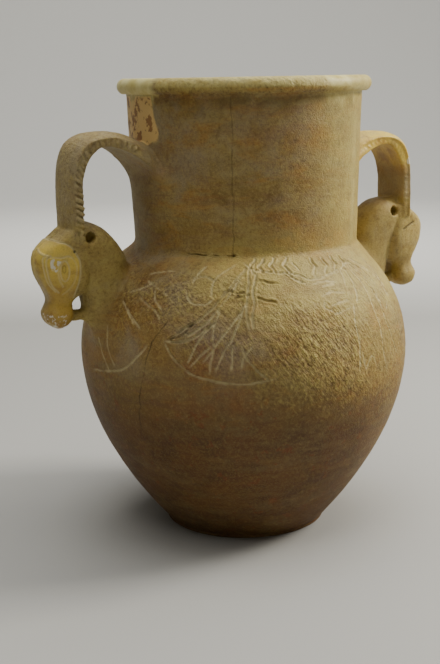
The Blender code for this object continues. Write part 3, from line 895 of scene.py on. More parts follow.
# The garland's leaves: the angle of each tip, and which way it points
LEAVES = ((-28, -1), (-24, -1), (-19.2, -1), (-13.2, -1), (2.7, 1), (8.7, 1), (14.3, 1), (20, 1))
LEAF_TOP = 214.8
# Deeper dark gouges: their places, then depth and half width in millimetres
GOUGES = (
    (((-36, 198), (-33, 196), (-29, 196)), 1.0, 1.1),
    (((-33, 193), (-27, 195)), 0.8, 1.0),
    (((-55, 166), (-51, 168), (-47, 177)), 1.2, 1.2),
    (((-25, 193), (-21, 191), (-18, 190)), 1.1, 1.1),
    (((-25, 204), (-20, 202), (-16, 201)), 0.9, 1.0),
    (((-60, 218.6), (-46, 218.2), (-34, 218.4)), 1.0, 0.5),
)
# Pits: their place, then depth and half width in millimetres
PITS = (
    ((-36.5, 218.2), 1.6, 1.6),
    ((18.7, 329.0), 1.2, 0.9),
    ((-80.6, 331.0), 0.7, 0.9),
    ((-47, 113), 0.9, 1.4),
    ((-12, 66), 0.5, 1.2),
)


def garland_leaves():
    """The bent strokes that hang in the garland under the neck."""
    for tip, lean in LEAVES:
        high = LEAF_TOP - 1.2 * lean
        top = ((tip - 2.0 * lean, high + 1), (tip - 1.4 * lean, high - 2))
        low = ((tip - 1.2 * lean, high - 6), (tip - 2.8 * lean, high - 9))
        yield (*top, (tip, high - 4.2), *low), 0.62, 0.95


def zone(turn, z, turns, heights, soft=(5.0, 0.006)):
    """1 inside a patch between two angles and two heights, fading past its edges."""
    (left, right), (low, high), (side, rise) = turns, heights, soft
    across = eased(turn, left - side, left + side) * eased(turn, right + side, right - side)
    return across * eased(z, low - rise, low + rise) * eased(z, high + rise, high - rise)


# What is stored at each point for the material to read
MARKS = ("carved", "gouge", "worn", "amber", "mend", "lip_shade", "pale")
MARKS += ("polish", "flakes", "inlay", "horn", "hollow", "blush", "hide")


class Surface:
    """The finished shape's points with their places round the vessel, and what is done at each."""

    def __init__(self, points):
        self.points = points
        angle, self.radius, self.z, shift = round_axis(points)
        self.turn = np.degrees(angle)
        self.lift = self.radius - outer_radius(self.z)
        self.depth = np.zeros(len(points))
        self.marks = {name: np.zeros(len(points)) for name in MARKS}
        self.lip = self.z > LIP_Z - 0.0005
        on_wall = (self.lift < 0.0022) & (self.lift > -0.0040) & (self.z > FOOT_EDGE) & ~self.lip
        self.wall = on_wall * eased(self.lift, 0.0022, 0.0012) * eased(self.lift, -0.0040, -0.0030)
        # The same points as they lay before anything was cut into the wall
        self.uncut = points.copy()
        outward = -self.lift / np.maximum(self.radius, 0.001) * on_wall
        self.uncut[:, 0] += outward * (points[:, 0] - shift)
        self.uncut[:, 1] += outward * points[:, 1]
        outside = (self.lift > 0) & (self.z > 0.12) & ~self.lip
        self.handle = outside * eased(self.lift, 0.0012, 0.003)
        self.ragged = grain(self.uncut, 0.0024, 61)
        under_rim = (self.z < HEIGHT - 0.006) | (self.radius < 0.079)
        self.inside = (self.lift < -0.004) & (self.z > 0.004) & under_rim

    def mark(self, name, values):
        """Raises a mark to at least these values."""
        self.marks[name] = np.maximum(self.marks[name], values)

    def cut(self, line, depth, half, mark, spread=1.5, ends=0.06):
        """A groove along a line, with a mark a little wider than it."""
        gap, along = line_distance(self.uncut, line, 0.004)
        gap = gap + half * 0.32 * self.ragged
        share = (0.3 + 0.7 * eased(along, 0, ends) * eased(along, 1, 1 - ends)) * self.wall
        rim = eased(gap, half * 0.9, half * 1.4) * eased(gap, half * 2.2, half * 1.5)
        self.depth += depth * share * (eased(gap, half, 0) - EDGE_LIFT * rim)
        strength = min(1.0, 0.35 + depth / 0.0011)
        self.mark(mark, strength * eased(gap, half * spread, half * 0.2) * share)


def wobbled(line, amount, size):
    """A line with a hand's unsteadiness."""
    line = np.array(line)
    return line + amount * np.stack([grain(line, size, seed) for seed in (41, 42, 43)], axis=1)


def engrave(surface):
    """The lotus flowers, the garland and the strokes round them, worn in places."""
    wear = 0.86 + 0.14 * grain(surface.points, 0.011, 5)
    for places, depth, half in (*STROKES, *garland_leaves()):
        line = wobbled(on_surface(places), 0.0007, 0.008)
        surface.cut(line, depth * STROKE_DEPTH, half * STROKE_WIDENING / 1000, "carved", 1.25)
    surface.depth *= wear
    surface.marks["carved"] *= 0.6 + 0.4 * eased(grain(surface.points, 0.005, 9), -0.8, 0.1)
    for places, depth, half in GOUGES:
        surface.cut(wobbled(on_surface(places), 0.0008, 0.004), depth / 1000, half / 1000, "gouge", 1.0)
    surface.marks["gouge"] *= 0.5
    for place, depth, half in PITS:
        spot = on_surface((place, place))[:1]
        gap = np.linalg.norm(surface.uncut - spot[0], axis=1)
        near = eased(gap, half / 1000, half / 3000) * surface.wall
        surface.depth += depth / 1000 * near
        surface.mark("gouge", near)


# Worn and stained patches, and a band of painted shadow under the lip, whose edges drift with the stone:
# mark, strength, two angles, two heights, and how soft the edges are in angle and height
PATCHES = (
    ("worn", 1.0, (-22, 14), (0.116, 0.186), (10, 0.020)),
    ("worn", 1.0, (-68, -46), (0.172, 0.206), (9, 0.014)),
    ("worn", 0.7, (-86, -66), (0.160, 0.206), (9, 0.016)),
    ("worn", 0.7, (-56, -24), (0.150, 0.208), (9, 0.014)),
    ("worn", 0.45, (10, 60), (0.100, 0.200), (14, 0.020)),
    ("worn", 0.16, (-32, 36), (0.222, 0.322), (10, 0.012)),
    ("pale", 1.0, (-52, 75), (0.176, 0.230), (16, 0.016)),
    ("pale", 1.0, (10, 75), (0.2, 0.34), (18, 0.01)),
    ("pale", 0.45, (-20, 34), (0.124, 0.190), (10, 0.014)),
    ("amber", 0.25, (0, 40), (0.110, 0.150), (10, 0.014)),
    ("amber", 0.35, (-22, 8), (0.286, 0.306), (9, 0.008)),
    ("amber", 0.45, (-20, 30), (0.219, 0.236), (14, 0.006)),
    ("flakes", 1.0, (-114, -77), (0.296, 0.330), (3, 0.004)),
    ("blush", 1.0, (-49, -31), (0.146, 0.192), (5, 0.008)),
    ("blush", 0.5, (-60, -20), (0.112, 0.135), (10, 0.008)),
    ("blush", 0.25, (-95, 0), (0.140, 0.216), (10, 0.008)),
    ("blush", 0.4, (-90, -50), (0.270, 0.310), (9, 0.01)),
    # Painted shadow in a band under the lip
    ("lip_shade", 0.55, (-60, 16), (0.321, 0.3285), (12, 0.003)),
)
LEAST_WEAR = 0.12
# Patches with clearer edges on the neck and on the lip, with the share of the drift after the strength
NECK_PATCHES = (
    ("pale", 1.0, 0.0, (9, 30), (0.320, 0.333), (3, 0.003)),
    ("mend", 0.28, 0.1, (34, 39), (0.226, 0.312), (1.6, 0.008)),
    ("mend", 0.5, 0.4, (10, 34), (0.3225, 0.3300), (4, 0.003)),
    ("amber", 0.15, 0.0, (40, 60), (0.215, 0.330), (3, 0.01)),
)
LIP_PATCHES = (
    ("mend", 1.0, 0.3, (-128, -73), (0.30, 0.36), (1.2, 0.01)),
    ("mend", 1.0, 0.3, (7, 22), (0.333, 0.36), (2, 0.002)),
    ("mend", 0.5, 0.0, (20, 90), (0.30, 0.36), (2, 0.01)),
    ("pale", 1.0, 0.0, (7, 78), (0.30, 0.36), (2, 0.01)),
    ("amber", 0.9, 0.0, (-30, 5), (0.3305, 0.3325), (4, 0.0012)),
)
GRANULAR_PART = ((-72, 7), (0.30, 0.36), (1.5, 0.01))
ROOT_SWELL = 0.0022


def wear_vessel(surface):
    """Rough and stained patches of the body, the neck and the lip, and painted shadow under the lip and on
    its underside.
    """
    turn, z, points = surface.turn, surface.z, surface.points
    drift = 5 * layered(points, 0.02, 51)
    level = z + 0.006 * layered(points, 0.018, 55)
    spread = turn + drift
    surface.mark("worn", LEAST_WEAR * surface.wall)
    for name, strength, turns, heights, soft in PATCHES:
        where = surface.wall + surface.lip if name == "pale" else surface.wall
        surface.mark(name, strength * zone(spread, level, turns, heights, soft) * where)
    ledge = surface.lip & (surface.radius > NECK_TOP_RADIUS - NECK_WALL - 0.0008)
    for patches, where in ((NECK_PATCHES, surface.wall), (LIP_PATCHES, ledge)):
        for name, strength, share, turns, heights, soft in patches:
            surface.mark(name, strength * zone(turn + share * drift, z, turns, heights, soft) * where)
    granular = ledge * zone(turn + 0.6 * drift, z, *GRANULAR_PART)
    surface.mark("worn", ledge * np.maximum(0.6 * granular, 0.2))
    surface.mark("pale", granular * eased(z, 0.3290, 0.3325))
    surface.mark("mend", 0.42 * granular * eased(z, 0.3325, 0.3350))
    # Painted shade on the underside of the lip
    surface.mark("lip_shade", 0.2 * granular * eased(z, 0.3315, 0.3300))
    surface.mark("hollow", surface.inside * 1.0)
    root = eased(np.abs(np.abs(turn) - 90), 30, 8) * eased(z, 0.224, 0.258) * eased(z, 0.284, 0.262)
    surface.depth -= ROOT_SWELL * root * (surface.lift > -0.001) * eased(surface.lift, 0.014, 0.004)
    worn = surface.marks["worn"]
    surface.depth -= 0.00022 * layered(points, 0.030, 3) * surface.wall
    on_neck = (z > SHOULDER_HEIGHT) & (z < LIP_Z) & (surface.lift < 0.0012)
    surface.depth -= (0.00005 + 0.00020 * worn) * np.where(on_neck, 0.15, 1.0) * layered(points, 0.0030, 7, 2)
    surface.depth += 0.00030 * worn * surface.wall * eased(layered(points, 0.0070, 71, 2), 0.35, 0.9)


# The face, as (out, up) shares of the animal's height on its side
MASK = (
    (0.260, 0.862),
    (0.196, 0.842),
    (0.150, 0.826),
    (0.092, 0.780),
    (0.052, 0.710),
    (0.029, 0.655),
    (0.026, 0.570),
    (0.040, 0.465),
    (0.064, 0.375),
    (0.075, 0.300),
)
MASK_FRONT = ((0.08, 0.24), (0.05, -0.10), (0.60, -0.10), (0.60, 0.90))
EYE_FRONT = ((0.300, 0.725), (0.333, 0.690), (0.338, 0.640), (0.330, 0.570))
EYE_FRONT += ((0.315, 0.500), (0.283, 0.430), (0.230, 0.365))
EYE_FOLD = [(out + 0.026, up + 0.01) for out, up in EYE_FRONT]
EYE_TOP = ((0.325, 0.712), (0.260, 0.706), (0.205, 0.700), (0.144, 0.712), (0.095, 0.690))
EYE_BACK = ((0.095, 0.690), (0.064, 0.615), (0.070, 0.530), (0.098, 0.445), (0.142, 0.385), (0.190, 0.345))
LID = ((0.212, 0.655), (0.236, 0.600), (0.238, 0.540), (0.222, 0.480), (0.196, 0.425))
IRIS_PLACE = (0.177, 0.572)
IRIS_HALF = (0.043, 0.098)
PUPIL_PLACE = (0.183, 0.592)
PUPIL_HALF = (0.016, 0.034)
INLAY = ((0.305, 0.682), (0.255, 0.690), (0.205, 0.672), (0.228, 0.615), (0.262, 0.560), (0.296, 0.590))
INLAY_STREAK = ((0.252, 0.690), (0.262, 0.640), (0.250, 0.600))
SLIT = ((0.060, 0.662), (0.131, 0.700), (0.210, 0.728))
HOLE_PLACE = (0.074, 0.748)
HEAD_BACK = 0.13
BROW_MIDDLE = 0.775
BROW_DROP = 0.045
NOSTRIL_PLACE = (0.322, 0.085)


def ellipse(middle, halves, count=24):
    """The outline of an ellipse, closed by its first place again."""
    return [
        (middle[0] + halves[0] * math.cos(angle), middle[1] + halves[1] * math.sin(angle))
        for angle in between(0, 2 * math.pi, count)
    ]


# Grooves of the face: line, depth and half width in millimetres, mark and its strength
GROOVES = (
    (curve_through(MASK), 0.7, 0.8, "carved", 1.0),
    (curve_through(EYE_FRONT), 0.8, 0.7, "carved", 1.0),
    (curve_through(EYE_FOLD), 0.5, 0.6, "carved", 0.8),
    (curve_through(EYE_TOP), 0.5, 0.7, "carved", 0.7),
    (curve_through(EYE_BACK), 0.4, 0.8, "carved", 0.4),
    (curve_through(LID), -0.5, 0.9, "carved", 0.5),
    (ellipse(IRIS_PLACE, IRIS_HALF), 0.6, 0.65, "carved", 0.9),
    (ellipse(PUPIL_PLACE, PUPIL_HALF), 0.45, 0.5, "gouge", 0.5),
)
SLIT_GROOVE = (curve_through(SLIT), 1.3, 0.9, "gouge", 1.0)


def inside_of(places, line):
    """True for places inside a closed line."""
    found = np.zeros(len(places), bool)
    line = np.array(line)
    for (x0, y0), (x1, y1) in zip(line, np.roll(line, -1, axis=0)):
        crosses = (y0 > places[:, 1]) != (y1 > places[:, 1])
        found ^= crosses & (places[:, 0] < (x1 - x0) * (places[:, 1] - y0) / (y1 - y0 + 1e-12) + x0)
    return found


def carve_face(surface, handle, face, worn):
    """One side of one head: mask, eye, iris, inlay, brow, nostril. worn is how much of it is gone."""
    points = surface.points
    on_head = (points[:, 0] * handle.side > HEAD_BACK) & (surface.handle > 0)
    chosen = np.flatnonzero(on_head & (points[:, 1] * face > -0.0005))
    place = points[chosen]
    out = (place[:, 0] * handle.side - NECK_RADIUS - ANIMAL_GAP) / ANIMAL_HEIGHT
    up = (place[:, 2] - handle.low) / ANIMAL_HEIGHT
    flat = np.stack([out, up], axis=1)
    depth = np.zeros(len(chosen))
    marks = {name: np.zeros(len(chosen)) for name in MARKS}

    def mark(name, values):
        marks[name] = np.maximum(marks[name], values)

    def groove(line, deep, half, name, strength, keep):
        gap, _ = line_distance(flat, line, 0.05)
        gap = gap * ANIMAL_HEIGHT
        mark(name, strength * eased(gap, half * 1.3 / 1000, half * 0.3 / 1000) * keep)
        return deep / 1000 * eased(gap, half / 1000, 0) * keep

    keep = 1 - worn
    mask_line = curve_through(MASK)
    edge, _ = line_distance(flat, mask_line, 0.2)
    masked = inside_of(flat, [*mask_line, *MASK_FRONT])
    behind = ~masked & (out < 0.30) & (up > 0.22) & (up < 0.93)
    depth += 0.0005 * keep * behind * eased(edge, 0.16, 0.0)
    rough = ~masked & (out > -0.4)
    mark("worn", rough * (0.3 if handle.side > 0 else 0.9) * eased(up, 1.02, 0.90) + 0.4 * masked * worn)
    mark("polish", masked * eased(edge, 0.0, 0.012) * keep)
    for line in GROOVES:
        depth += groove(*line, keep)
    astray = 0.016 * np.stack([grain(place, 0.0035, 91), grain(place, 0.0035, 92)], axis=1)
    white = inside_of(flat + astray, INLAY)
    rim, _ = line_distance(flat, [*INLAY, INLAY[0]], 0.05)
    depth += 0.0003 * white * eased(rim, 0, 0.012) * keep
    streak, _ = line_distance(flat, INLAY_STREAK, 0.05)
    mark("inlay", white * (0.76 - 0.4 * eased(streak, 0.020, 0.006)) * keep)
    mark("amber", white * eased(streak, 0.020, 0.006) * keep)
    across = np.abs(place[:, 1])
    from_brow = up - (BROW_MIDDLE - BROW_DROP * across / 0.011)
    over = (from_brow * eased(across, 0.0135, 0.011) * (out > 0.27)) != 0
    depth -= 0.00045 * eased(np.abs(from_brow), 0.016, 0.0) * over * keep
    mark("carved", 0.8 * eased(np.abs(from_brow), 0.014, 0.004) * over * keep)
    if face < 0 and handle.side < 0:
        hole = np.hypot(out - HOLE_PLACE[0], up - HOLE_PLACE[1]) * ANIMAL_HEIGHT
        depth += 0.0014 * eased(hole, 0.0013, 0.0004)
        mark("gouge", eased(hole, 0.0014, 0.0006))
    if face < 0 < handle.side:
        depth += groove(*SLIT_GROOVE, 1.0)
    nostril = np.hypot(up - NOSTRIL_PLACE[1], (across - 0.0045) / ANIMAL_HEIGHT) * ANIMAL_HEIGHT
    nostril = np.where(out > 0.2, nostril, 1.0)
    depth += 0.0009 * eased(nostril, 0.0014, 0.0005)
    mark("gouge", 0.8 * eased(nostril, 0.0014, 0.0005))
    muzzle = eased(up, 0.185, 0.135) * eased(out, 0.10, 0.17)
    mark("inlay", 0.52 * muzzle * (1 - worn))
    mark("hide", ~masked * eased(up, 1.04, 0.96) * eased(surface.lift[chosen], 0.002, 0.016))
    surface.depth[chosen] += depth
    for name, values in marks.items():
        surface.marks[name][chosen] = np.maximum(surface.marks[name][chosen], values)


def gashes(surface, handle, face):
    """Slanting cuts between the teeth of one edge of the horns, with painted shade in the cuts and a painted
    highlight on the teeth.
    """
    points = surface.points
    line = np.array(spaced(tooth_line(handle, face), NOTCH_PITCH / 3))
    length = np.linalg.norm(np.diff(line, axis=0), axis=1).sum()
    gap, along = line_distance(points, line, 0.0048)
    width = 0.0020 + 0.0016 * eased(np.abs(points[:, 0]), 0.120, 0.132)
    near = eased(gap, width + 0.0008, width - 0.0004) * (points[:, 1] * face > 0) * surface.handle
    near *= 0.35 + 0.65 * eased(grain(points, 0.005, 29), -0.5, 0.2)
    half = np.interp(along, (0, 1), np.abs(line[[0, -1], 1]))
    near *= (np.abs(points[:, 1]) > half - 0.0022) | (gap < 0.0015)
    turn = along * length / NOTCH_PITCH + 0.35 * grain(points, 0.004, 27)
    outward = np.abs(points[:, 0]) - np.interp(along, np.linspace(0, 1, len(line)), np.abs(line[:, 0]))
    turn += GASH_LEAN * handle.side * outward / NOTCH_PITCH
    cut = eased(np.cos(2 * math.pi * turn), 0.1, -0.8)
    strength = 1.0 - 0.4 * eased(points[:, 2], 0.276, 0.288) if handle.side < 0 else WORN_GASH_SHARE
    surface.depth += 0.0006 * near * cut * strength
    # Painted shade in the cuts and painted highlight on the teeth between them
    surface.mark("gouge", 0.5 * near * cut * strength)
    surface.mark("carved", 0.35 * near * eased(cut, 0.3, 0.0) * strength)


# How much of the carving is worn away on the near (-1) and the far side of the left and the right head
FACE_WEAR = ((0, -1, 0), (0, 1, 0.35), (1, -1, 0.85), (1, 1, 0.35))


def wear_handles(surface):
    """The heads, the horns' finish and the worn patches of the loops."""
    points, z = surface.points, surface.z
    for i, face, worn in FACE_WEAR:
        carve_face(surface, HANDLES[i], face, worn)
    reach = np.abs(points[:, 0])
    crown = SHOULDER_HEIGHT + CROWN_ABOVE_SHOULDER
    loop = surface.handle * eased(z, crown - 0.008, crown + 0.001) * (reach > 0.1)
    loop = np.maximum(loop, surface.handle * eased(z, crown, crown + 0.01))
    loop *= eased(reach, 0.080, 0.104)
    surface.mark("horn", loop)
    surface.mark("worn", 0.4 * loop * (points[:, 0] < 0))
    for handle in HANDLES:
        for face in (-1, 1):
            gashes(surface, handle, face)
    right = points[:, 0] > 0
    patchy = eased(grain(points, 0.012, 23), -1.2, -0.4)
    surface.mark("polish", loop * right * eased(z, 0.262, 0.274) * patchy)
    edge = zone(points[:, 1] * 1000, z, (-22, -12), (0.266, 0.286), (2, 0.004))
    top_edge = right * eased(reach, 0.142, 0.1455) * edge
    surface.mark("inlay", surface.handle * top_edge * 0.75)
    # The right loop's inner underside: amber tone and painted shade
    underside_amber_and_shade = surface.handle * right * eased(z, 0.255, 0.266)
    underside_amber_and_shade = underside_amber_and_shade * eased(reach, 0.1475, 0.1425) * eased(z, 0.2925, 0.2890)
    surface.mark("amber", underside_amber_and_shade)
    chest = surface.handle * (1 - loop) * (1 - surface.marks["polish"])
    chest = chest * eased(z, crown + 0.016, crown + 0.004) * eased(surface.lift, 0.001, 0.014)
    surface.mark("worn", np.where(points[:, 0] < 0, 0.8, 0.35) * chest)
    surface.mark("hide", chest * eased(z, crown, crown - 0.006))
    surface.depth -= surface.handle * (1 - surface.marks["polish"]) * 0.00012 * layered(points, 0.0030, 17, 2)
    surface.depth -= surface.handle * 0.00022 * layered(points, 0.016, 19, 2)


def worked(points):
    """The surface with everything that is carved and worn, for these points."""
    surface = Surface(points)
    engrave(surface)
    wear_vessel(surface)
    wear_handles(surface)
    return surface


JOINT_START = 0.055
JOINT_REACH = 0.022


def fill_joints(mesh, handles_tree):
    """Softens the corners where the handles meet the vessel, as a carver leaves them."""
    points = read_points(mesh)
    angle, radius, z, _ = round_axis(points)
    near_handle = np.full(len(points), 1.0)
    for i in np.flatnonzero(np.abs(points[:, 0]) > JOINT_START):
        hit = handles_tree.find_nearest(Vector(points[i]), JOINT_REACH)
        if hit[0] is not None:
            near_handle[i] = hit[3]
    from_wall = np.abs(radius - outer_radius(z))
    on_wall = (radius > 0.05) & (from_wall < 0.001)
    turn = np.abs(np.degrees(angle))
    crook = eased(np.abs(z - SHOULDER_HEIGHT), 0.008, 0.0) * eased(turn, 58, 80) * eased(turn, 172, 150)
    write_points(mesh, smoothed(mesh, points, crook * on_wall, 60))
    from_wall[(z < FOOT_EDGE) | (z > LIP_Z)] = 1.0
    middle = eased(np.abs(z - 0.268), 0.018, 0.006)
    for reach, rounds, rows in ((JOINT_REACH, 180, z < 0.240), (0.011, 36, z > 0.245), (0.018, 60, middle)):
        joint = eased(near_handle, reach, 0.0) * eased(from_wall, reach, 0.0) * rows
        write_points(mesh, smoothed(mesh, read_points(mesh), joint, rounds))


PLAIN_LEVELS = 5
DETAIL_WORTH = 0.00002
CARVED_PART = ((-92, 42), (0.134, 0.212), (4, 0.004))


def thinned(mesh, most, plain):
    """The mesh with its flattest triangles merged, mostly where plain is 1, until a number are left."""
    if len(mesh.polygons) <= most:
        return mesh
    carrier = add_object("thinned", mesh)
    group = carrier.vertex_groups.new(name="plain")
    for level in range(1, PLAIN_LEVELS + 1):
        chosen = np.flatnonzero(np.round(plain * PLAIN_LEVELS) == level)
        group.add(chosen.tolist(), level / PLAIN_LEVELS, "REPLACE")
    step = carrier.modifiers.new("thin", "DECIMATE")
    step.vertex_group = "plain"
    step.vertex_group_factor = DETAIL_WORTH
    step.ratio = most / len(mesh.polygons)
    return applied(carrier)


def dressed(mesh):
    """Carves and wears the surface and stores what each place looks like."""
    points = read_points(mesh)
    surface = worked(points)
    write_points(mesh, points - read_rows(mesh.vertex_normals, "vector") * surface.depth[:, None])
    shown = zone(surface.turn, surface.z, *CARVED_PART) * surface.wall
    foot_edge = (surface.z < 0.006) & (surface.radius > FOOT_RADIUS - 0.006)
    bore_edge = surface.inside & (np.abs(surface.z - SHOULDER_HEIGHT) < 0.014) & (surface.radius < 0.082)
    polish, carved, gouge = (surface.marks[name] for name in ("polish", "carved", "gouge"))
    detail = np.max([0.8 * shown, 0.95 * foot_edge, 0.9 * bore_edge, 0.9 * polish, carved, gouge], axis=0)
    mesh = thinned(mesh, MOST_TRIANGLES, 1 - np.clip(detail, 0, 1))
    surface = worked(read_points(mesh))
    for name, values in surface.marks.items():
        store = mesh.attributes.new(name, "FLOAT", "POINT")
        store.data.foreach_set("value", np.clip(values, 0, 1).astype(np.float32))
    for polygon in mesh.polygons:
        polygon.use_smooth = True
    return mesh


# Colours of the stone, its stains, its wear and its mends, and of the shade painted low down and under the
# lip
CREAM = display(194, 177, 98)
TAN = display(156, 136, 86)
OCHRE = display(142, 114, 58)
UMBER = display(79, 49, 26)
FILM = display(150, 139, 114)
ROSE = display(134, 103, 72)
MOSS = display(126, 112, 66)
BLUSH = display(130, 80, 48)
HIDE = display(182, 162, 94)
UMBER_YELLOW = display(118, 92, 44)
GREY_WHITE = display(222, 214, 152)
CHALK = display(222, 218, 200)
SCRATCH = display(222, 208, 158)
# Painted shadow under the lip
LIP_SHADE = display(76, 54, 32)
DARK = display(42, 30, 17)
HORN = display(174, 158, 116)
HONEY = display(222, 194, 88)
DARK_HONEY = display(168, 130, 62)
PEACH = display(224, 190, 122)
AMBER = display(176, 126, 52)
RUST = display(124, 66, 32)
# Brown of the lower body, partly painted shade
EARTH_AND_SHADE = display(110, 72, 36)


class Looks(Tree):
    """The material's tree, with what the stone's finish is mixed from."""

    def __init__(self, tree):
        super().__init__(tree)
        self.place = self.node("ShaderNodeTexCoord", output="Object")

    def link(self, value, shader, name):
        """Feeds a value to one of the shader's sockets."""
        self.tree.links.new(value.socket, shader.inputs[name])

    def slanting(self, size):
        """Short strands that run down to the right on the side that shows."""
        settings = {"vector_type": "TEXTURE"}
        values = {"Vector": self.place, "Rotation": (0.61, 0.0, -2.08), "Scale": (1.0, 1.0, 3.2)}
        place = self.node("ShaderNodeMapping", settings, values)
        values = {"Vector": place, "Scale": 1 / size, "Detail": 2.0, "Roughness": 0.6}
        return self.node("ShaderNodeTexNoise", {}, values)

    def noise(self, size, detail=3.0, rough=0.55, warp=0.0, stretch=(1, 1, 1)):
        """Noise with features of a size, longer where its stretch is small."""
        place = self.node("ShaderNodeMapping", {}, {"Vector": self.place, "Scale": stretch})
        values = {"Vector": place, "Scale": 1 / size, "Detail": detail}
        return self.node("ShaderNodeTexNoise", {}, {**values, "Roughness": rough, "Distortion": warp})

    def step(self, value, low, high):
        """0 below low, 1 above high and a smooth rise between, also for high below low."""
        settings = {"interpolation_type": "SMOOTHSTEP", "clamp": True}
        return self.node("ShaderNodeMapRange", settings, {"Value": value, "From Min": low, "From Max": high})

    def mark(self, name):
        """A mark that is stored at the surface's points."""
        return self.node("ShaderNodeAttribute", {"attribute_name": name}, output="Fac")

    def mix(self, share, first, second):
        """The first colour with a share of the second over it."""
        return self.node("ShaderNodeMix", {"data_type": "RGBA"}, {0: share, 6: first, 7: second}, output=2)


# The body's crack: heights, each with the angle where the crack passes
CRACK_TURNS = ((0.090, -69), (0.111, -67), (0.120, -66), (0.143, -63.5), (0.164, -61), (0.181, -55))
NECK_CRACK_TURN = -34.2
RELIEF_DEPTH = 0.0016


def crack_lines(looks, across, depth, height):
    """Dark hair cracks: one down the neck, one down the body's left."""
    step, maths = looks.step, looks.maths
    degrees = maths("ARCTAN2", across, 0 - depth) * (180 / math.pi)
    wander = looks.noise(0.016, 4.0, 0.65) - 0.5
    fade = step(looks.noise(0.012, 1.0), 0.32, 0.55)
    from_neck = maths("ABSOLUTE", degrees - NECK_CRACK_TURN + wander * 3.6)
    neck = step(from_neck, 0.55, 0.10) * step(height, 0.2165, 0.2185) * step(height, 0.328, 0.326)
    turn = CRACK_TURNS[0][1]
    for (low, before), (high, after) in zip(CRACK_TURNS, CRACK_TURNS[1:]):
        values = {"Value": height, "From Min": low, "From Max": high}
        turn = looks.node("ShaderNodeMapRange", {"clamp": True}, values) * (after - before) + turn
    from_body = maths("ABSOLUTE", degrees - turn + wander * 3.0)
    body = step(from_body, 0.34, 0.10) * step(height, 0.086, 0.10) * step(height, 0.184, 0.178)
    return maths("MAXIMUM", neck * (0.06 + 0.28 * fade), body * (0.20 + 0.42 * fade))


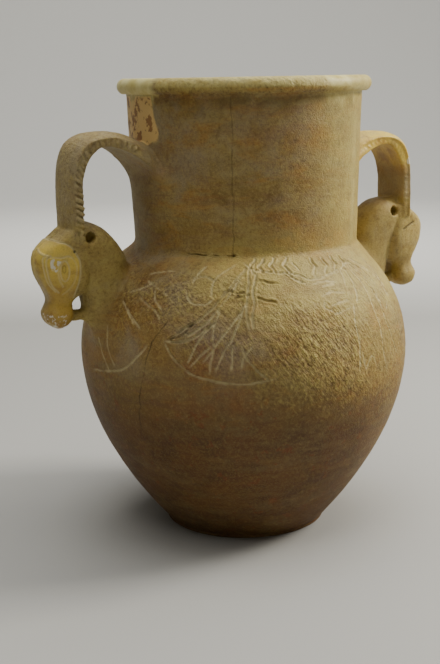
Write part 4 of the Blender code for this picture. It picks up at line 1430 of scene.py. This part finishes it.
def alabaster():
    """The stone: warm mottled alabaster, paler where it is cut or worn, darker low down partly as painted
    shade and less so on the right as painted light, with painted shade under the lip and on the heads' lower
    parts.
    """
    material = bpy.data.materials.new("alabaster")
    material.use_nodes = True
    shader = material.node_tree.nodes["Principled BSDF"]
    looks = Looks(material.node_tree)
    mark, mix, step, noise = looks.mark, looks.mix, looks.step, looks.noise
    parts = looks.node("ShaderNodeSeparateXYZ", {}, {0: looks.place}).socket.node.outputs
    across, depth, height = (Strand(looks, socket) for socket in parts)
    cloud = noise(0.075, 4.0, 0.55, 0.8, (1, 1, 2.6))
    streak = noise(0.030, 5.0, 0.62, 0.5, (1, 1, 4.5))
    mottle = noise(0.012, 4.0, 0.62, 0.4)
    speck = noise(0.0024, 3.0, 0.7)
    strands = looks.slanting(0.0022)
    fine = noise(0.0009, 2.0, 0.6)
    ring = noise(0.0045, 3.0, 0.6, 0.0, (0.05, 0.05, 1.0))
    blotch = noise(0.022, 4.0, 0.68, 0.6)
    gold = noise(0.046, 4.0, 0.65, 1.0, (1, 1, 3.0))
    green = noise(0.038, 4.0, 0.65, 0.7, (1, 1, 3.0))
    worn, pale, amber, hide, flakes = (mark(name) for name in ("worn", "pale", "amber", "hide", "flakes"))
    # Darker low down: brown stone and painted shade where the body turns down from the light
    low_brown_and_shade = step(height + 0.060 * (cloud - 0.5) + 0.03 * (streak - 0.5), 0.165, 0.085)
    # Less of it on the right, where the key lamp falls: painted light
    low_brown_and_shade = low_brown_and_shade * (1 - 0.65 * step(across, 0.02, 0.10))
    spots = step(noise(0.009, 3.0, 0.65), 0.62, 0.68) * step(height, 0.20, 0.12)
    horn = mix(step(mottle, 0.3, 0.75), HORN, TAN)
    skin = mix(step(mottle, 0.42, 0.72) * 0.5, HIDE, UMBER_YELLOW)
    honey = mix(step(mottle + 0.15 * (speck - 0.5), 0.46, 0.74), HONEY, DARK_HONEY)
    honey = mix(step(streak, 0.54, 0.70) * 0.35, honey, CREAM)
    # Painted shade: the heads darker on their lower part
    honey = mix(step(height, 0.222, 0.185) * 0.62, honey, DARK_HONEY)
    honey = mix(amber * 0.12, honey, AMBER)
    film = step(noise(0.050, 4.0, 0.6, 0.5), 0.46, 0.66) * step(height, 0.120, 0.165) * (1 - pale)
    rough = worn * (1 - hide)
    grains = (0.14 + 0.34 * worn) * (1 - 0.45 * low_brown_and_shade) * (1 - 0.25 * hide)
    mended = mix(step(mottle, 0.30, 0.66), CREAM, GREY_WHITE)
    white = step(mark("inlay") + (noise(0.0030, 3.0, 0.6) - 0.5) * 1.4, 0.54, 0.66)
    colour = mix(step(cloud + 0.35 * (streak - 0.5), 0.36, 0.62), TAN, OCHRE)
    # What lies over the ground colour, from the lowest up: its share, then its colour
    layers = (
        (step(streak, 0.48, 0.66) * 0.60 * (1 - 0.7 * pale), ROSE),
        (step(gold, 0.49, 0.66) * 0.46, AMBER),
        (step(green, 0.50, 0.66) * 0.26, MOSS),
        # Brown stone and painted shade low down
        (low_brown_and_shade * (0.66 + 0.20 * step(streak, 0.35, 0.62)), UMBER),
        (step(blotch, 0.50, 0.64) * 0.30 * (1 - low_brown_and_shade), OCHRE),
        # Brown blotches low down, partly painted shade
        (low_brown_and_shade * step(blotch, 0.42, 0.60) * 0.45, EARTH_AND_SHADE),
        (step(blotch, 0.48, 0.34) * 0.30, UMBER),
        (mark("blush") * (0.35 + 0.4 * step(mottle, 0.4, 0.6)), BLUSH),
        (spots * 0.6, RUST),
        (pale * (0.38 + 0.32 * step(mottle, 0.35, 0.65)), CREAM),
        (amber * step(mottle + 0.3 * (speck - 0.5), 0.34, 0.58) * 0.8, AMBER),
        (step(ring, 0.56, 0.75) * 0.16, UMBER),
        (step(mottle, 0.60, 0.72) * 0.30, UMBER),
        (mark("horn") * 0.75 * (1 - 0.6 * amber), horn),
        (hide * 0.75, skin),
        (mark("polish") * 0.9, honey),
        (film * (0.40 + 0.25 * step(across, -0.02, -0.08)), FILM),
        (step(strands, 0.52, 0.70) * rough * 0.44, CREAM),
        (step(strands, 0.48, 0.30) * rough * 0.36, UMBER),
        (step(speck, 0.51, 0.66) * grains, CREAM),
        (step(speck, 0.49, 0.34) * grains * 1.2, UMBER),
        (step(fine, 0.54, 0.70) * 0.15, CREAM),
        (step(fine, 0.46, 0.30) * 0.22, UMBER),
        # Painted shadow under the lip and on its underside
        (mark("lip_shade") * 0.6, LIP_SHADE),
        (step(flakes + 0.5 * (mottle - 0.5), 0.3, 0.6), PEACH),
        (flakes * step(noise(0.011, 4.0, 0.7), 0.52, 0.56) * 0.75, RUST),
        (mark("mend") * 0.85, mended),
        # Pale engraved lines, and the painted highlight on the horns' teeth
        (mark("carved") * 0.66, SCRATCH),
        (white * 0.85, CHALK),
        # Dark cuts and pits, and the painted shade in the cuts between the horns' teeth
        (mark("gouge") * 0.7, DARK),
        (crack_lines(looks, across, depth, height), DARK),
        (mark("hollow") * 0.35, UMBER),
    )
    for share, tint in layers:
        colour = mix(share, colour, tint)
    looks.link(colour, shader, "Base Color")
    gloss = 0.56 + 0.20 * (mottle - 0.5) + 0.15 * worn - 0.14 * mark("polish") - 0.10 * pale
    looks.link(gloss, shader, "Roughness")
    relief = speck * (0.17 + 0.5 * worn) + strands * 1.2 * rough + 0.3 * fine + 0.12 * ring
    relief = relief * (1 - 0.65 * mark("polish")) * (1 - 0.8 * mark("mend")) * (1 - 0.45 * hide)
    bump = looks.node("ShaderNodeBump", {}, {"Strength": 1.0, "Distance": RELIEF_DEPTH, "Height": relief})
    looks.link(bump, shader, "Normal")
    shader.inputs["Subsurface Weight"].default_value = 0.12
    shader.inputs["Subsurface Radius"].default_value = (1.0, 0.6, 0.3)
    shader.inputs["Subsurface Scale"].default_value = 0.004
    shader.inputs["Specular IOR Level"].default_value = 0.30
    return material


FLOOR_RADIUS = 2.4
FLOOR_CURVE = 1.3
FLOOR_WALL = 1.2
FLOOR_SIDES = 72
FLOOR_GREY = display(174, 173, 168)
WORLD_GREY = display(225, 225, 223)
WORLD_STRENGTH = 0.11
MIDDLE = (0.0, 0.0, 0.17)
# Lamps: name, place, what each is turned to, width, power, colour
LAMPS = (
    ("key", (1.10, -0.42, 1.00), MIDDLE, 0.45, 24.0, (1.0, 0.96, 0.88)),
    ("sky", (0.30, 0.15, 2.3), MIDDLE, 2.2, 54.0, (1.0, 0.99, 0.96)),
    ("fill", (-0.9, -0.7, 2.2), MIDDLE, 0.9, 9.0, (1.0, 0.98, 0.95)),
    ("wall", (0.50, 0.90, 1.30), (1.8, 3.2, 0.7), 0.8, 62.0, (1.0, 0.99, 0.97)),
)
CAMERA_PLACE = (-0.4427, -0.7556, 0.340)
CAMERA_TURNS = (("Z", -29.2), ("X", 77.5), ("Z", -1))
LENS_LENGTH = 62.35
SENSOR_SIZE = 36


def floor_and_light():
    """A pale floor that curves up far behind, and soft light from above."""
    line = [(0.0, 0.0), (1.0, 0.0), (FLOOR_RADIUS, 0.0)]
    line += [
        (FLOOR_RADIUS + FLOOR_CURVE * math.sin(turn), FLOOR_CURVE * (1 - math.cos(turn)))
        for turn in between(0, math.pi / 2, 10)[1:]
    ]
    line.append((line[-1][0], line[-1][1] + FLOOR_WALL))
    mesh = bmesh.new()
    centre = mesh.verts.new((0, 0, 0))
    rings = []
    for radius, z in line[1:]:
        angles = between(0, 2 * math.pi, FLOOR_SIDES)[:-1]
        rings.append([mesh.verts.new((radius * math.cos(a), radius * math.sin(a), z)) for a in angles])
    for i in range(FLOOR_SIDES):
        follow = (i + 1) % FLOOR_SIDES
        mesh.faces.new((centre, rings[0][i], rings[0][follow]))
        for low, high in zip(rings, rings[1:]):
            mesh.faces.new((low[i], high[i], high[follow], low[follow]))
    for face in mesh.faces:
        face.smooth = True
    data = bpy.data.meshes.new("floor")
    mesh.to_mesh(data)
    mesh.free()
    ground = add_object("floor", data)
    paint = bpy.data.materials.new("pale floor")
    paint.use_nodes = True
    shader = paint.node_tree.nodes["Principled BSDF"]
    shader.inputs["Base Color"].default_value = FLOOR_GREY
    shader.inputs["Roughness"].default_value = 0.9
    data.materials.append(paint)
    world = bpy.data.worlds.new("studio")
    world.use_nodes = True
    background = world.node_tree.nodes["Background"]
    background.inputs["Color"].default_value = WORLD_GREY
    background.inputs["Strength"].default_value = WORLD_STRENGTH
    bpy.context.scene.world = world
    for name, place, target, width, power, tint in LAMPS:
        lamp = bpy.data.lights.new(name, "AREA")
        lamp.size = width
        lamp.energy = power
        lamp.color = tint
        holder = add_object(name, lamp)
        holder.location = place
        aim = Vector(target) - Vector(place)
        holder.rotation_euler = aim.to_track_quat("-Z", "Y").to_euler()


def camera():
    """The camera, a little above the shoulder and to the left of the front."""
    lens = bpy.data.cameras.new("camera")
    lens.lens = LENS_LENGTH
    lens.sensor_width = SENSOR_SIZE
    lens.sensor_height = SENSOR_SIZE
    lens.sensor_fit = "VERTICAL"
    holder = add_object("camera", lens)
    first, second, third = (Matrix.Rotation(math.radians(angle), 4, axis) for axis, angle in CAMERA_TURNS)
    holder.matrix_world = Matrix.Translation(CAMERA_PLACE) @ (first @ second @ third)
    bpy.context.scene.camera = holder


def build():
    """Joins the vessel and the handles, carves and wears the stone, and hands it to the frame."""
    material = alabaster()
    teeth_group = twisted_group()
    vessel = turned_vessel(turning_group(), material)
    handle_meshes = [carved_handle(handle, teeth_group, material) for handle in HANDLES]
    corners, sides = [], []
    for mesh in handle_meshes:
        start = len(corners)
        corners += [point.co.copy() for point in mesh.vertices]
        sides += [[start + i for i in polygon.vertices] for polygon in mesh.polygons]
    handles_tree = BVHTree.FromPolygons(corners, sides)
    helpers = [add_object("handle", mesh) for mesh in handle_meshes]
    mesh = joined_stone(vessel, helpers)
    shape = bmesh.new()
    shape.from_mesh(mesh)
    bmesh.ops.remove_doubles(shape, verts=shape.verts, dist=SAME_PLACE)
    refined(shape, [face for face in shape.faces if on_mask(face.calc_center_median())], 1)
    bmesh.ops.triangulate(shape, faces=shape.faces)
    shape.to_mesh(mesh)
    shape.free()
    fill_joints(mesh, handles_tree)
    mesh = dressed(mesh)
    mesh.materials.clear()
    mesh.materials.append(material)
    piece = add_object("amphora_stone", mesh)
    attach(piece, "root")
    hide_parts("amphora")


build()
floor_and_light()
camera()
